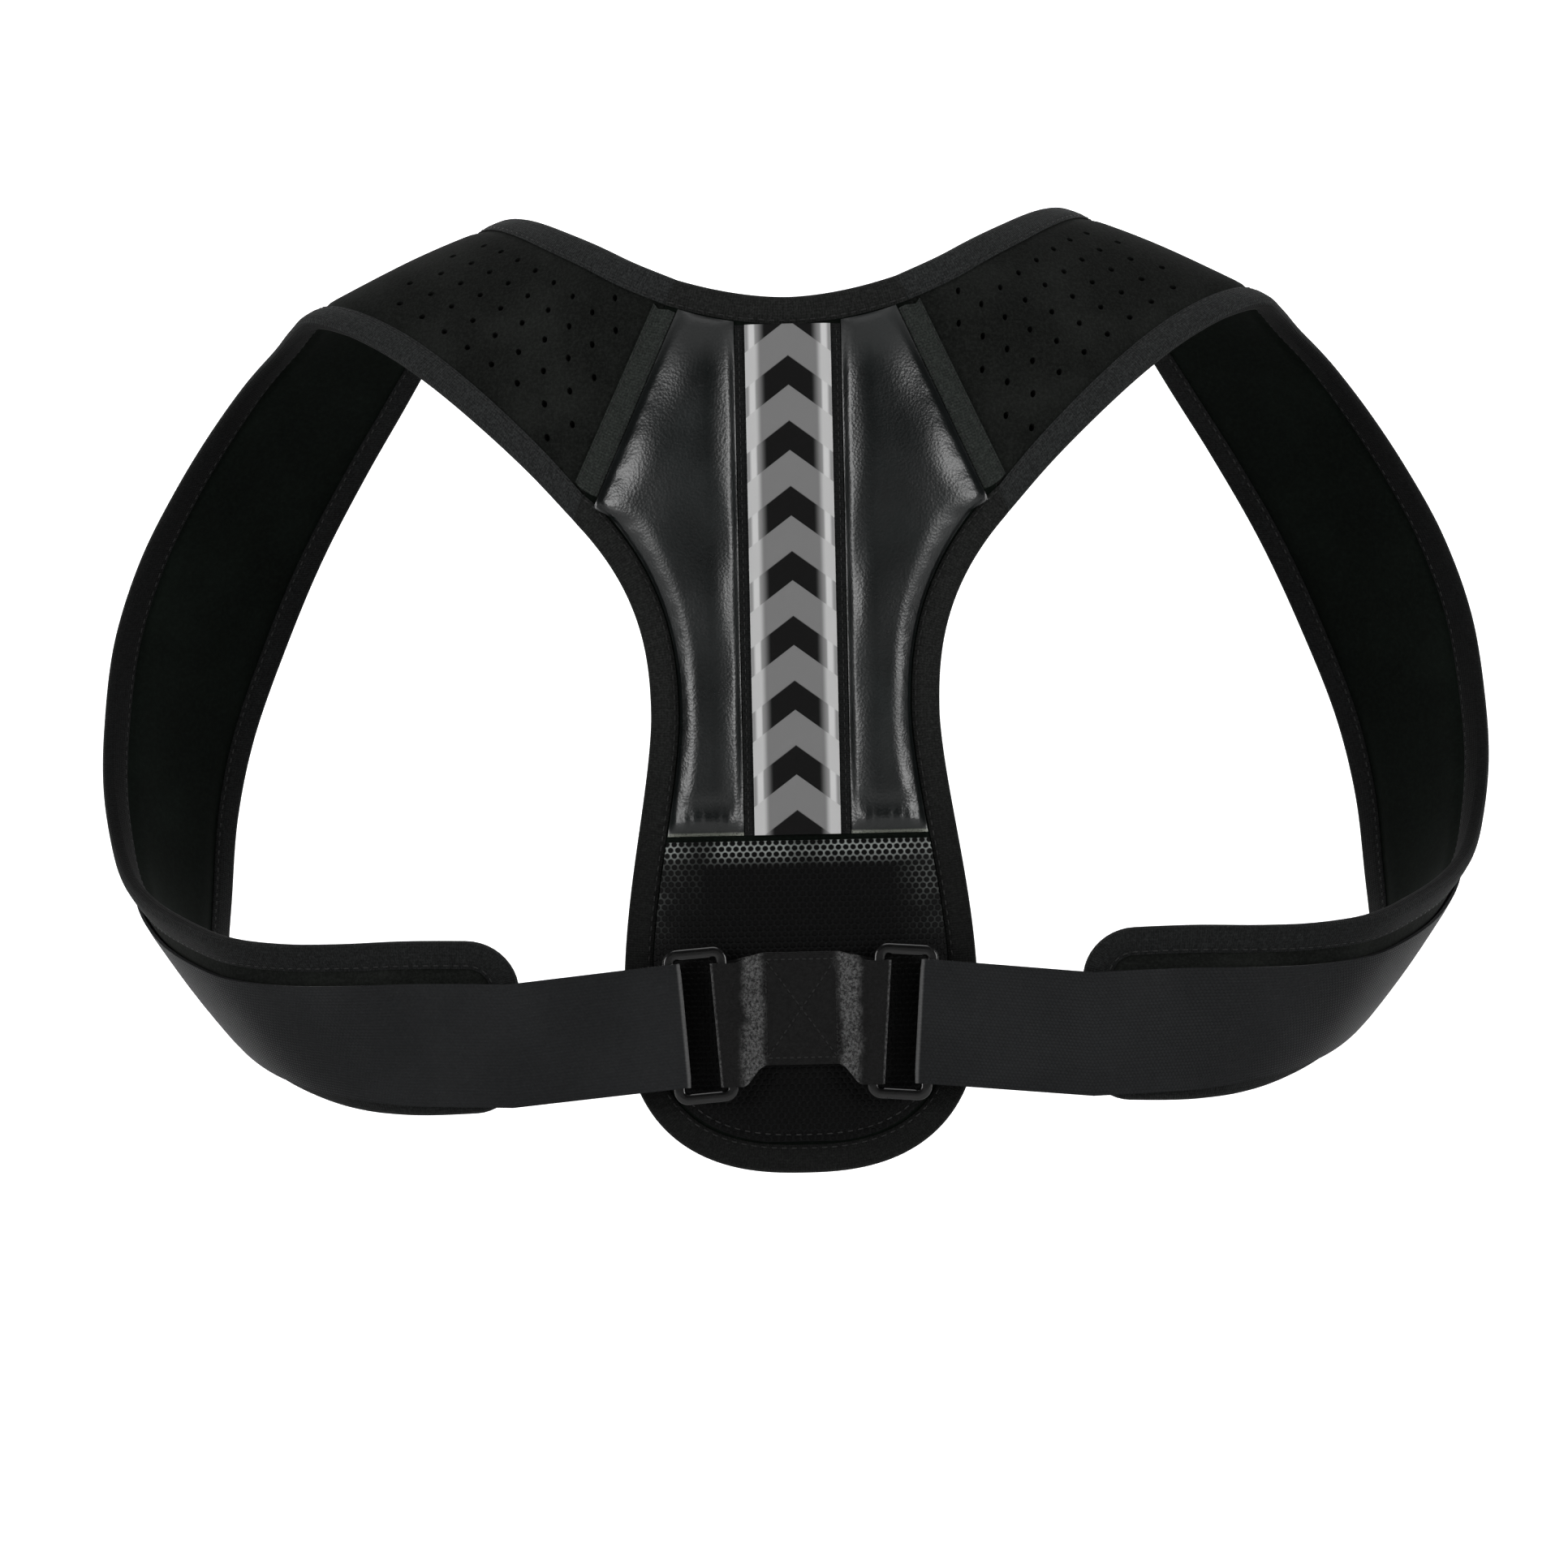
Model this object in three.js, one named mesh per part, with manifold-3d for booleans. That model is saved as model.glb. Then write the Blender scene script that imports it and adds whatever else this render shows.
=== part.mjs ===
// Posture corrector: padded back panel, two shoulder straps that go over the shoulders, down the chest
// and back under the arms, and webbing that runs through two rings on a tab at the back.
// Millimetres. X is across the back, Y points from the outer face towards the wearer's chest, Z is up.
// The origin is on the face that lies on the wearer's back, on the centre line, at the waist of the panel.

import * as THREE from "three";
import { mergeVertices } from "three/addons/utils/BufferGeometryUtils.js";
import Module from "manifold-3d";

const wasm = await Module();
wasm.setup();

// Sizes of the whole
const halfSpan = 220; // centre line to the outermost point of a strap
const shoulderRise = 156; // waist up to the top of a shoulder
const padDrop = 120; // waist down to the lower edge of the pads under the arms
const frontReach = 139; // outer face of the back to the straps on the chest

// Back panel
const waistHalf = 43;
const footOut = 66; // lower end of the seam between panel and wing
const footUp = 62;
const headOut = 34; // upper end of that seam
const headUp = shoulderRise - 22.5;
const neckDip = headUp - 6.2; // neckline at the centre
const tongueHalf = 53;
const tongueWidest = 90; // how far below the waist the tongue is widest
const tongueTip = 140;
const panelThick = 4;
const panelBow = 8; // how far the panel curves round the back at the foot of the seam
const neckLean = 6; // how far its top leans towards the neck
const leanFrom = 60;

// Edges and bindings
const bindingWide = 7.5;
const bindingWall = 0.9;
const edgeThick = 2.6; // everything that the binding folds over
const gap = 0.3; // between pieces that are sewn or laid on each other

// Straps
const strapThick = 4.4;
const liningWall = 0.9;
const strapCrown = 1.5;
const endRadius = 14;
const strapEnd = 7.5; // from the last row of the strap table back to the padded end

// Perforations in the wings
const holeRadius = 1;
const holePitch = 10;
const holeRowPitch = 8;
const holeFrom = 12; // seam to the first column
const holeColumns = 8;
const holeRowsBeside = 3; // rows on either side of the middle one, where they fit
const holeClear = 3.5; // binding to the middle of the nearest hole

// Leather, mesh, tape and seam ribbons
const coverWall = 1;
const leatherBulge = 3;
const meshBulge = 1.2;
const leatherFoot = 37; // below the waist
const tapeWide = 26;
const tapeWall = 0.5;
const backingWide = 34.5;
const backingWall = 0.7;
const ribbonWide = 8;
const ribbonWall = 0.8;

// Webbing, rings and tab
const webWide = 38;
const webWall = 1.4;
const webFromArmEdge = 12; // upper edge of the webbing to the arm edge of the strap
const webOverlap = 18; // inner layer sewn over the padded end
const webRise = 12; // over which the outer layer steps up onto the sewn one
const ringWide = 20;
const ringTall = 48;
const ringThick = 3;
const ringBar = 3.6;
const ringCorner = 4;
const ringOut = 31; // centre line to the middle of a ring
const ringDrop = 95; // waist down to the middle of a ring
const ringLean = THREE.MathUtils.degToRad(4.2); // the feet of the rings lean together
const tabTall = 38;
const tabSewnHalf = 12;
const tabSlope = 8; // from the sewn middle out to the full height
const tabTaper = 0.91; // height of the sewn middle beside that of the ends
const tabLift = 4.7; // how far the sewn middle rides up

const colours = {
  neoprene: 0x1a1c1b,
  lining: 0x0d120e,
  leather: 0x1a2120,
  mesh: 0x101211,
  binding: 0x232527,
  ribbon: 0x242826,
  webbing: 0x212222,
  ring: 0x080808,
  tape: 0x9a9c9c,
};

// Strap table. The first row is the seam, and each row below is a section across the strap, from the
// arm edge to the neck edge: over the shoulder, down the chest, round under the arm, to the pad's end.
// "Out" is a share of the way from the seam's end to halfSpan, "ahead" a share of frontReach and "up"
// a share of shoulderRise, or of padDrop where it is negative.
const strapTable = {
  columns: ["armOut", "armAhead", "armUp", "neckOut", "neckAhead", "neckUp"],
  rows: [
    [0.09, 0.072, 0.496, 0.071, 0.083, 0.896],
    [0.193, 0.122, 0.595, 0.126, 0.144, 0.932],
    [0.294, 0.201, 0.682, 0.182, 0.223, 0.965],
    [0.39, 0.288, 0.751, 0.227, 0.309, 0.99],
    [0.48, 0.374, 0.798, 0.262, 0.388, 1.002],
    [0.551, 0.468, 0.816, 0.292, 0.482, 1.001],
    [0.589, 0.561, 0.794, 0.322, 0.583, 0.974],
    [0.627, 0.633, 0.758, 0.359, 0.683, 0.917],
    [0.695, 0.698, 0.695, 0.412, 0.791, 0.809],
    [0.768, 0.741, 0.606, 0.483, 0.878, 0.672],
    [0.848, 0.77, 0.487, 0.558, 0.942, 0.53],
    [0.923, 0.777, 0.347, 0.639, 0.986, 0.359],
    [0.979, 0.763, 0.18, 0.708, 1, 0.177],
    [1, 0.727, 0.006, 0.77, 0.993, -0.025],
    [1, 0.683, -0.149, 0.8, 0.964, -0.236],
    [0.982, 0.619, -0.287, 0.81, 0.892, -0.446],
    [0.951, 0.518, -0.389, 0.811, 0.748, -0.644],
    [0.899, 0.396, -0.456, 0.775, 0.532, -0.784],
    [0.823, 0.259, -0.509, 0.709, 0.324, -0.879],
    [0.73, 0.137, -0.553, 0.631, 0.165, -0.944],
    [0.614, 0.058, -0.572, 0.556, 0.065, -0.982],
    [0.494, 0.014, -0.575, 0.495, 0.014, -0.996],
    [0.35, -0.007, -0.571, 0.435, -0.007, -1],
    [0.09, -0.014, -0.579, 0.247, -0.014, -0.991],
  ],
};
const webTipRow = 15.4; // row of the strap table where the webbing's tip lies, on the chest side
const closeRows = [6, 7, 8, 17, 18]; // followed by a row halfway, where the strap turns sharply

const halfEdge = edgeThick / 2;
const barClear = 1.5 * gap; // webbing to the bar that it folds round
const bindingHalf = halfEdge + gap + bindingWall;
const panelMid = panelThick / 2;

// Small helpers
const lerp = THREE.MathUtils.lerp;
const smooth = THREE.MathUtils.smoothstep;
const vec = (x, y, z) => new THREE.Vector3(x, y, z);
const range = (count) => Array.from({ length: count }, (unused, i) => i);
const steps = (from, to, count) => range(count + 1).map((i) => lerp(from, to, i / count));

// Geometry of triangles over points, turned so that its faces point out.
function closedGeometry(points, triangles) {
  let volume = 0;
  for (const [a, b, c] of triangles) {
    volume += points[a].dot(vec(0, 0, 0).crossVectors(points[b], points[c]));
  }
  const faces = volume < 0 ? triangles.map(([a, b, c]) => [a, c, b]) : triangles;
  const geometry = new THREE.BufferGeometry().setFromPoints(points);
  geometry.setIndex(faces.flat());
  return geometry;
}

// Solid between two grids of points of the same size, grid[i][j].
function solidBetween(outer, inner) {
  const rows = outer.length;
  const columns = outer[0].length;
  const points = [...outer.flat(), ...inner.flat()];
  const at = (side, i, j) => side * rows * columns + i * columns + j;
  const triangles = [];
  const quad = (a, b, c, d) => triangles.push([a, b, c], [a, c, d]);
  for (const i of range(rows - 1)) {
    for (const j of range(columns - 1)) {
      quad(at(0, i, j), at(0, i, j + 1), at(0, i + 1, j + 1), at(0, i + 1, j));
      quad(at(1, i, j), at(1, i + 1, j), at(1, i + 1, j + 1), at(1, i, j + 1));
    }
    quad(at(0, i, 0), at(0, i + 1, 0), at(1, i + 1, 0), at(1, i, 0));
    const last = columns - 1;
    quad(at(0, i, last), at(1, i, last), at(1, i + 1, last), at(0, i + 1, last));
  }
  for (const j of range(columns - 1)) {
    quad(at(0, 0, j), at(1, 0, j), at(1, 0, j + 1), at(0, 0, j + 1));
    const last = rows - 1;
    quad(at(0, last, j), at(0, last, j + 1), at(1, last, j + 1), at(1, last, j));
  }
  return closedGeometry(points, triangles);
}

// Solid swept through sections, each the same closed loop of points; outline is the loop laid flat.
// Faces are split the same way as those of a grid that the sections lie along.
function sweptSolid(sections, outline) {
  const size = outline.length;
  const triangles = [];
  for (const i of range(sections.length - 1)) {
    for (const m of range(size)) {
      const next = (m + 1) % size;
      const [a, b] = [i * size + m, i * size + next];
      const [c, d] = [b + size, a + size];
      const rising = outline[next][0] >= outline[m][0];
      triangles.push(...(rising ? [[a, b, c], [a, c, d]] : [[a, b, d], [b, c, d]]));
    }
  }
  const cap = THREE.ShapeUtils.triangulateShape(
    outline.map(([u, n]) => new THREE.Vector2(u, n)),
    [],
  );
  const turned = THREE.ShapeUtils.area(outline.map(([u, n]) => new THREE.Vector2(u, n))) < 0;
  const start = (sections.length - 1) * size;
  for (const [a, b, c] of cap) {
    const [p, q, r] = turned ? [a, c, b] : [a, b, c];
    triangles.push([p, r, q], [start + p, start + q, start + r]);
  }
  return closedGeometry(sections.flat(), triangles);
}

// The same solid on the other side of the centre line.
function mirrored(geometry) {
  const position = geometry.getAttribute("position");
  const points = range(position.count).map((i) => vec(-position.getX(i), position.getY(i), position.getZ(i)));
  const index = Array.from(geometry.index.array);
  const triangles = range(index.length / 3).map((i) => index.slice(3 * i, 3 * i + 3));
  return closedGeometry(points, triangles);
}

function toManifold(geometry) {
  const bare = geometry.clone();
  bare.deleteAttribute("normal");
  bare.deleteAttribute("uv");
  const merged = mergeVertices(bare, 1e-4);
  return new wasm.Manifold(
    new wasm.Mesh({
      numProp: 3,
      vertProperties: merged.getAttribute("position").array,
      triVerts: new Uint32Array(merged.index.array),
    }),
  );
}

function fromManifold(solid) {
  const mesh = solid.getMesh();
  const geometry = new THREE.BufferGeometry();
  geometry.setAttribute("position", new THREE.BufferAttribute(mesh.vertProperties, 3));
  geometry.setIndex(new THREE.BufferAttribute(mesh.triVerts, 1));
  return geometry;
}

// Back panel surface

// Half width of the panel at a height, out to the finished edge.
function panelHalf(up) {
  if (up >= footUp) return lerp(footOut, headOut, (up - footUp) / (headUp - footUp));
  if (up >= 0) return waistHalf + (footOut - waistHalf) * (up / footUp) ** 2.5;
  const down = Math.min(-up / tongueWidest, 1);
  return waistHalf + (tongueHalf - waistHalf) * Math.sin((down * Math.PI) / 2) ** 1.5;
}

// The same, drawn in by a distance measured square to the edge.
function panelHalfInset(up, inset) {
  const small = 0.5;
  const slope = (panelHalf(up + small) - panelHalf(up - small)) / (2 * small);
  return panelHalf(up) - inset * Math.hypot(1, slope);
}

const neckline = (x) => neckDip + (headUp - neckDip) * Math.min(Math.abs(x) / headOut, 1.2) ** 1.8;

// Point on the panel, raised from the wearer's face towards the outside.
function panelPoint(x, up, raised) {
  const lean = Math.max(0, (up - leanFrom) / (headUp - leanFrom));
  const ahead = panelBow * (x / footOut) ** 2 + neckLean * lean ** 2;
  return vec(x, ahead, up).addScaledVector(panelNormal(x, up), raised);
}

function panelNormal(x, up) {
  const lean = Math.max(0, (up - leanFrom) / (headUp - leanFrom));
  const slopeX = (2 * panelBow * x) / footOut ** 2;
  const slopeUp = (2 * neckLean * lean) / (headUp - leanFrom);
  return vec(slopeX, -1, slopeUp).normalize();
}

// Point of the tongue's round end, at an angle from its widest level to its tip, drawn in by inset.
function tongueArc(angle, inset) {
  const roundness = 0.8;
  return [
    (tongueHalf - inset) * Math.cos(angle) ** roundness,
    -tongueWidest - (tongueTip - tongueWidest - inset) * Math.sin(angle) ** roundness,
  ];
}
const tongueAngles = [18, 36, 51, 63, 75].map(THREE.MathUtils.degToRad);

// Right-hand edge of the panel from the seam's foot down and round to the middle of the tongue's tip.
function sideOutline() {
  return [...waistEdge(), [0, -tongueTip]];
}

// The same, without its last point.
function waistEdge() {
  const levels = [1, 0.8, 0.6, 0.4, 0.2, 0].map((share) => share * footUp);
  const lower = [0.25, 0.5, 0.75, 1].map((share) => -share * tongueWidest);
  const straight = [...levels, ...lower].map((up) => [panelHalf(up), up]);
  return [...straight, ...tongueAngles.map((angle) => tongueArc(angle, 0))];
}

// Thickness of the padding under and beside a binding, by the distance from the edge.
const padShare = (distance) => smooth(distance, bindingWide + 0.5, bindingWide + 3.5);

// Distance from a point of the panel to its outline, near enough for the padding's edge.
const outlinePoints = (() => {
  const side = sideOutline();
  const seam = steps(0, 1, 6).map((t) => [lerp(headOut, footOut, t), lerp(headUp, footUp, t)]);
  const top = steps(0, headOut, 6).map((x) => [x, neckline(x)]);
  return [...top, ...seam, ...side];
})();

function distanceToOutline(x, up) {
  let nearest = Infinity;
  for (const i of range(outlinePoints.length - 1)) {
    const [ax, az] = outlinePoints[i];
    const [bx, bz] = outlinePoints[i + 1];
    const length = Math.hypot(bx - ax, bz - az) || 1;
    const along = ((Math.abs(x) - ax) * (bx - ax) + (up - az) * (bz - az)) / length ** 2;
    const t = THREE.MathUtils.clamp(along, 0, 1);
    nearest = Math.min(nearest, Math.hypot(Math.abs(x) - lerp(ax, bx, t), up - lerp(az, bz, t)));
  }
  return nearest;
}

// Padded base of the panel, thin where the bindings and seam ribbons lie.
function backPanel() {
  const seamLevels = [1, 0.9, 0.6, 0.3].map((share) => lerp(footUp, headUp, share));
  const edge = [...seamLevels.map((up) => [panelHalf(up), up]), ...waistEdge()];
  const tipLevel = edge[edge.length - 1][1];
  const levelAt = (u, half, up) => {
    if (up === headUp) return neckline(u * half);
    return lerp(centreLevel(up), up, up === tipLevel ? Math.abs(u) : u * u);
  };
  const centreLevel = (up) => {
    if (up >= footUp) return lerp(footUp, neckDip, (up - footUp) / (headUp - footUp));
    if (up >= -tongueWidest) return up;
    return lerp(-tongueWidest, -tongueTip, (up + tongueWidest) / (tipLevel + tongueWidest));
  };
  const shares = (half) => {
    const thin = 1 - (bindingWide + 0.5) / half;
    const full = 1 - (bindingWide + 3.5) / half;
    const right = [full * 0.5, Math.max(full, 0.1), Math.max(thin, 0.2), 1];
    return [...right.map((u) => -u).reverse(), 0, ...right];
  };
  const grid = (raise) =>
    edge.map(([half, up]) =>
      shares(half).map((u) => {
        const level = levelAt(u, half, up);
        return panelPoint(u * half, level, raise(distanceToOutline(u * half, level)));
      }),
    );
  const outer = grid((distance) => panelMid + lerp(halfEdge, panelMid, padShare(distance)));
  const inner = grid((distance) => panelMid - lerp(halfEdge, panelMid, padShare(distance)));
  return solidBetween(outer, inner);
}

// Channel section of a binding: u is measured in from the edge, n across the thickness.
const bindingOutline = [
  [bindingWide, bindingHalf],
  [0.4, bindingHalf],
  [-gap - bindingWall, bindingHalf * 0.45],
  [-gap - bindingWall, -bindingHalf * 0.45],
  [0.4, -bindingHalf],
  [bindingWide, -bindingHalf],
  [bindingWide, -halfEdge - gap],
  [-gap, -halfEdge - gap],
  [-gap, halfEdge + gap],
  [bindingWide, halfEdge + gap],
];

// Binding along stretches of the panel's edge: each stop has a place and the direction inwards.
function panelBindingAlong(stops) {
  const sections = stops.map(({ x, up, inX, inUp }) =>
    bindingOutline.map(([u, n]) => panelPoint(x + u * inX, up + u * inUp, panelMid + n)),
  );
  return sweptSolid(sections, bindingOutline);
}

// Stops along a line of points, facing to its right; the ends may be given their own directions.
function stopsAlong(line, first, last) {
  return line.map(([x, up], i) => {
    const before = line[Math.max(i - 1, 0)];
    const after = line[Math.min(i + 1, line.length - 1)];
    const along = new THREE.Vector2(after[0] - before[0], after[1] - before[1]).normalize();
    const given = i === 0 ? first : i === line.length - 1 ? last : null;
    const [inX, inUp] = given ?? [along.y, -along.x];
    return { x, up, inX, inUp };
  });
}

const seamLength = Math.hypot(footOut - headOut, headUp - footUp);
const seamDown = [(footOut - headOut) / seamLength, (footUp - headUp) / seamLength];

function necklineBinding() {
  const half = headOut - gap / 2;
  const line = steps(-half, half, 10).map((x) => [x, neckline(x)]);
  return panelBindingAlong(stopsAlong(line, [-seamDown[0], seamDown[1]], seamDown));
}

function panelBinding() {
  const side = sideOutline();
  const line = [...side, ...side.slice(0, -1).map(([x, up]) => [-x, up]).reverse()];
  const leftUp = [seamDown[0], -seamDown[1]];
  return panelBindingAlong(stopsAlong(line, [-seamDown[0], -seamDown[1]], leftUp));
}

// Raised cover on the panel: a grid of [x, up, height] over a flat back.
function panelCover(grid, wall) {
  const base = panelThick + gap;
  const outer = grid.map((row) => row.map(([x, up, height]) => panelPoint(x, up, base + wall + height)));
  const inner = grid.map((row) => row.map(([x, up]) => panelPoint(x, up, base)));
  return solidBetween(outer, inner);
}

// Height of a padded cover at shares across and along it, flat at its sewn edges.
function puff(across, along, steepness) {
  const rise = (share) => 1 - Math.abs(2 * share - 1) ** steepness;
  return rise(across) * rise(along) ** 0.5;
}

function leather() {
  const innerX = backingWide / 2 + gap;
  const edgeInset = bindingWide + 2 * gap;
  const seamInset = ribbonWide / 2 + gap;
  const outerAt = (up) => {
    const seamX = headOut + ((headUp - up) * (footOut - headOut)) / (headUp - footUp);
    const bySeam = seamX - seamInset * (seamLength / (headUp - footUp));
    return Math.min(bySeam, panelHalfInset(Math.min(up, footUp), edgeInset) + cornerSpare(up));
  };
  const cornerSpare = (up) => Math.max(0, up - footUp) * 2;
  const topAt = (x) => neckline(x) - edgeInset;
  const topOuter = outerAt(topAt(headOut));
  const across = [0, 0.16, 0.5, 0.84, 1];
  const down = [0, 0.04, 0.14, 0.27, 0.36, 0.42, 0.48, 0.54, 0.62, 0.71, 0.82, 0.95, 1];
  const grid = down.map((along) =>
    across.map((share) => {
      const top = topAt(lerp(innerX, topOuter, share));
      const up = lerp(top, -leatherFoot, along);
      return [lerp(innerX, outerAt(up), share), up, leatherBulge * puff(share, along, 4)];
    }),
  );
  return panelCover(grid, coverWall);
}

function meshPanel() {
  const inset = bindingWide + 2 * gap;
  const top = -leatherFoot - 2 * gap;
  const straight = steps(top, -tongueWidest, 5).map((up) => [panelHalfInset(up, inset), up]);
  const edge = [...straight, ...tongueAngles.map((angle) => tongueArc(angle, inset))];
  const tip = edge[edge.length - 1][1];
  const lowest = -tongueTip + inset;
  const across = steps(-1, 1, 8);
  const grid = edge.map(([half, up], i) =>
    across.map((u) => {
      const centre = up >= -tongueWidest ? up : lerp(-tongueWidest, lowest, (up + tongueWidest) / (tip + tongueWidest));
      const level = lerp(centre, up, u * u);
      return [u * half, level, meshBulge * puff((u + 1) / 2, i / (edge.length - 1), 6)];
    }),
  );
  return panelCover(grid, coverWall);
}

// Flat strip down the centre line.
function centreStrip(width, wall, raised) {
  const top = neckDip - bindingWide - gap;
  const levels = steps(top, -leatherFoot, 6);
  const columns = [-width / 2, 0, width / 2];
  const face = (height) => levels.map((up) => columns.map((x) => panelPoint(x, up, height)));
  return solidBetween(face(raised + wall), face(raised));
}

const tapeBacking = () => centreStrip(backingWide, backingWall, panelThick + gap);
const reflectiveTape = () => centreStrip(tapeWide, tapeWall, panelThick + backingWall + 2 * gap);

// Shoulder strap surface, on the side where X is positive

const seamPoint = (x, up) => panelPoint(x, up, panelMid);

function strapEdge(out, ahead, up, seam) {
  const column = (name) => strapTable.columns.indexOf(name);
  const points = strapTable.rows.map((row) => {
    const rise = row[column(up)];
    const height = rise > 0 ? rise * shoulderRise : rise * padDrop;
    return vec(lerp(seam.x, halfSpan, row[column(out)]), row[column(ahead)] * frontReach, height);
  });
  return new THREE.CatmullRomCurve3([seam, ...points], false, "centripetal");
}
const armEdge = strapEdge("armOut", "armAhead", "armUp", seamPoint(footOut, footUp));
const neckEdge = strapEdge("neckOut", "neckAhead", "neckUp", seamPoint(headOut, headUp));
const lastRow = strapTable.rows.length;

const armAt = (row) => armEdge.getPoint(row / lastRow);
const neckAt = (row) => neckEdge.getPoint(row / lastRow);
const widthAt = (row) => armAt(row).distanceTo(neckAt(row));
const middleAt = (row) => armAt(row).lerp(neckAt(row), 0.5);

// Point on the strap: a row of the table, a distance in from the arm edge and a height over the middle.
function strapPoint(row, fromArm, raised) {
  const small = 0.02;
  const low = Math.max(row - small, 0);
  const high = Math.min(row + small, lastRow);
  const across = neckAt(row).sub(armAt(row));
  const width = across.length();
  const share = fromArm / width;
  const along = armAt(high).lerp(neckAt(high), share).sub(armAt(low).lerp(neckAt(low), share));
  const own = vec(0, 0, 0).crossVectors(along, across).normalize();
  const seamX = lerp(footOut, headOut, share);
  const seamNormal = panelNormal(seamX, lerp(footUp, headUp, share));
  const normal = seamNormal.lerp(own, smooth(row, 0, 0.8)).normalize();
  const crown = strapCrown * Math.max(0, 1 - (2 * share - 1) ** 2) * smooth(row, 0.3, 1.5);
  return armAt(row).addScaledVector(across, share).addScaledVector(normal, raised + crown);
}

// Length along the strap and back to rows.
const lengthTable = (() => {
  const perRow = 8;
  const rows = steps(0, lastRow, lastRow * perRow);
  let length = 0;
  return rows.map((row, i) => {
    if (i > 0) length += middleAt(row).distanceTo(middleAt(rows[i - 1]));
    return { row, length };
  });
})();

function rowAt(length) {
  const i = lengthTable.findIndex((entry) => entry.length >= length);
  if (i <= 0) return i < 0 ? lastRow : 0;
  const [before, after] = [lengthTable[i - 1], lengthTable[i]];
  return lerp(before.row, after.row, (length - before.length) / (after.length - before.length));
}

function lengthAt(row) {
  const i = Math.max(1, lengthTable.findIndex((entry) => entry.row >= row));
  const [before, after] = [lengthTable[i - 1], lengthTable[i]];
  return lerp(before.length, after.length, (row - before.row) / (after.row - before.row));
}

const strapLength = lengthTable[lengthTable.length - 1].length - strapEnd;
const cornerStart = strapLength - endRadius;

// Rows across the rounded end, as shares of its radius.
const endShares = [0, 0.22, 0.43, 0.74, 0.93, 1];

// How far in from the straight edge the line at a given inset lies, near the rounded end; null past it.
function insetAt(length, inset) {
  const past = length - cornerStart;
  if (past <= 0) return inset;
  const radius = endRadius - inset;
  return past > radius ? null : endRadius - Math.sqrt(radius ** 2 - past ** 2);
}

// Rows of the strap from the seam to where its end starts to round, closer together in the turns.
const mainRows = (() => {
  const rows = [rowAt(gap)];
  const last = rowAt(cornerStart);
  for (let row = 1; row < last - 0.2; row += 1) {
    rows.push(row);
    if (closeRows.includes(row)) rows.push(row + 0.5);
  }
  const beside = [2 * gap, 4].map((past) => rowAt(ribbonWide / 2 + past));
  return [...rows, ...beside].sort((a, b) => a - b);
})();

// Share of the full padding at a place on the strap: none under the binding or the seam ribbon.
function strapPad(length, fromArm, width) {
  const start = ribbonWide / 2 + gap;
  const bySeam = smooth(length, start, start + 3);
  const edge = Math.min(fromArm, width - fromArm);
  const past = length - cornerStart;
  const corner = past > 0 && edge < endRadius ? endRadius - Math.hypot(endRadius - edge, past) : Infinity;
  return Math.min(bySeam, padShare(Math.min(edge, strapLength - length, corner)));
}

// Grid of the strap's rows and columns, at the height that a function of the padding gives.
function strapGrid(insets, heightOf) {
  const endLengths = endShares.map((share) => lerp(cornerStart, strapLength, share));
  const stations = [...mainRows.map((row) => [row, lengthAt(row)]), ...endLengths.map((s) => [rowAt(s), s])];
  return stations.map(([row, length]) => {
    const width = widthAt(row);
    const edge = insetAt(length, 0);
    const places = insets.map((inset, i) => {
      const fallback = lerp(edge, width / 2, i / (insets.length + 0.5));
      return insetAt(length, inset) ?? fallback;
    });
    const columns = [...places, ...places.map((place) => width - place).reverse()];
    return columns.map((w) => strapPoint(row, w, heightOf(strapPad(length, w, width))));
  });
}

const coreOuter = (share) => lerp(halfEdge, strapThick / 2, share);
const coreInner = (share) => -lerp(halfEdge - liningWall - gap, strapThick / 2 - liningWall, share);

// Padded body of the strap, with the perforations of the wing cut through it.
function strapBody() {
  const insets = [0, bindingWide + 0.5, bindingWide + 3.5];
  const body = toManifold(solidBetween(strapGrid(insets, coreOuter), strapGrid(insets, coreInner)));
  const cut = perforations().reduce((solid, hole) => solid.subtract(toManifold(hole)), body);
  return fromManifold(cut);
}

// Staggered rows of holes along the wing, as far out to its sides as they clear the binding.
function perforations() {
  const sides = 4;
  const circle = range(sides).map((i) => {
    const angle = (i * 2 * Math.PI) / sides;
    return [holeRadius * Math.cos(angle), holeRadius * Math.sin(angle)];
  });
  const lines = steps(-holeRowsBeside, holeRowsBeside, 2 * holeRowsBeside);
  return range(holeColumns).flatMap((column) =>
    lines.flatMap((line) => {
      const length = holeFrom + holePitch * (column + (Math.abs(line) % 2) / 2);
      const halfWidth = widthAt(rowAt(length)) / 2;
      const aside = holeRowPitch * line;
      if (Math.abs(aside) > halfWidth - bindingWide - holeClear) return [];
      const section = (raised) =>
        circle.map(([a, b]) => strapPoint(rowAt(length + a), halfWidth + aside + b, raised));
      return [sweptSolid([section(-strapThick), section(strapThick)], circle)];
    }),
  );
}

function strapLining() {
  const insets = [0, bindingWide + 0.5, bindingWide + 3.5];
  const top = (share) => coreInner(share) - gap;
  return solidBetween(
    strapGrid(insets, top),
    strapGrid(insets, (share) => top(share) - liningWall),
  );
}

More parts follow.
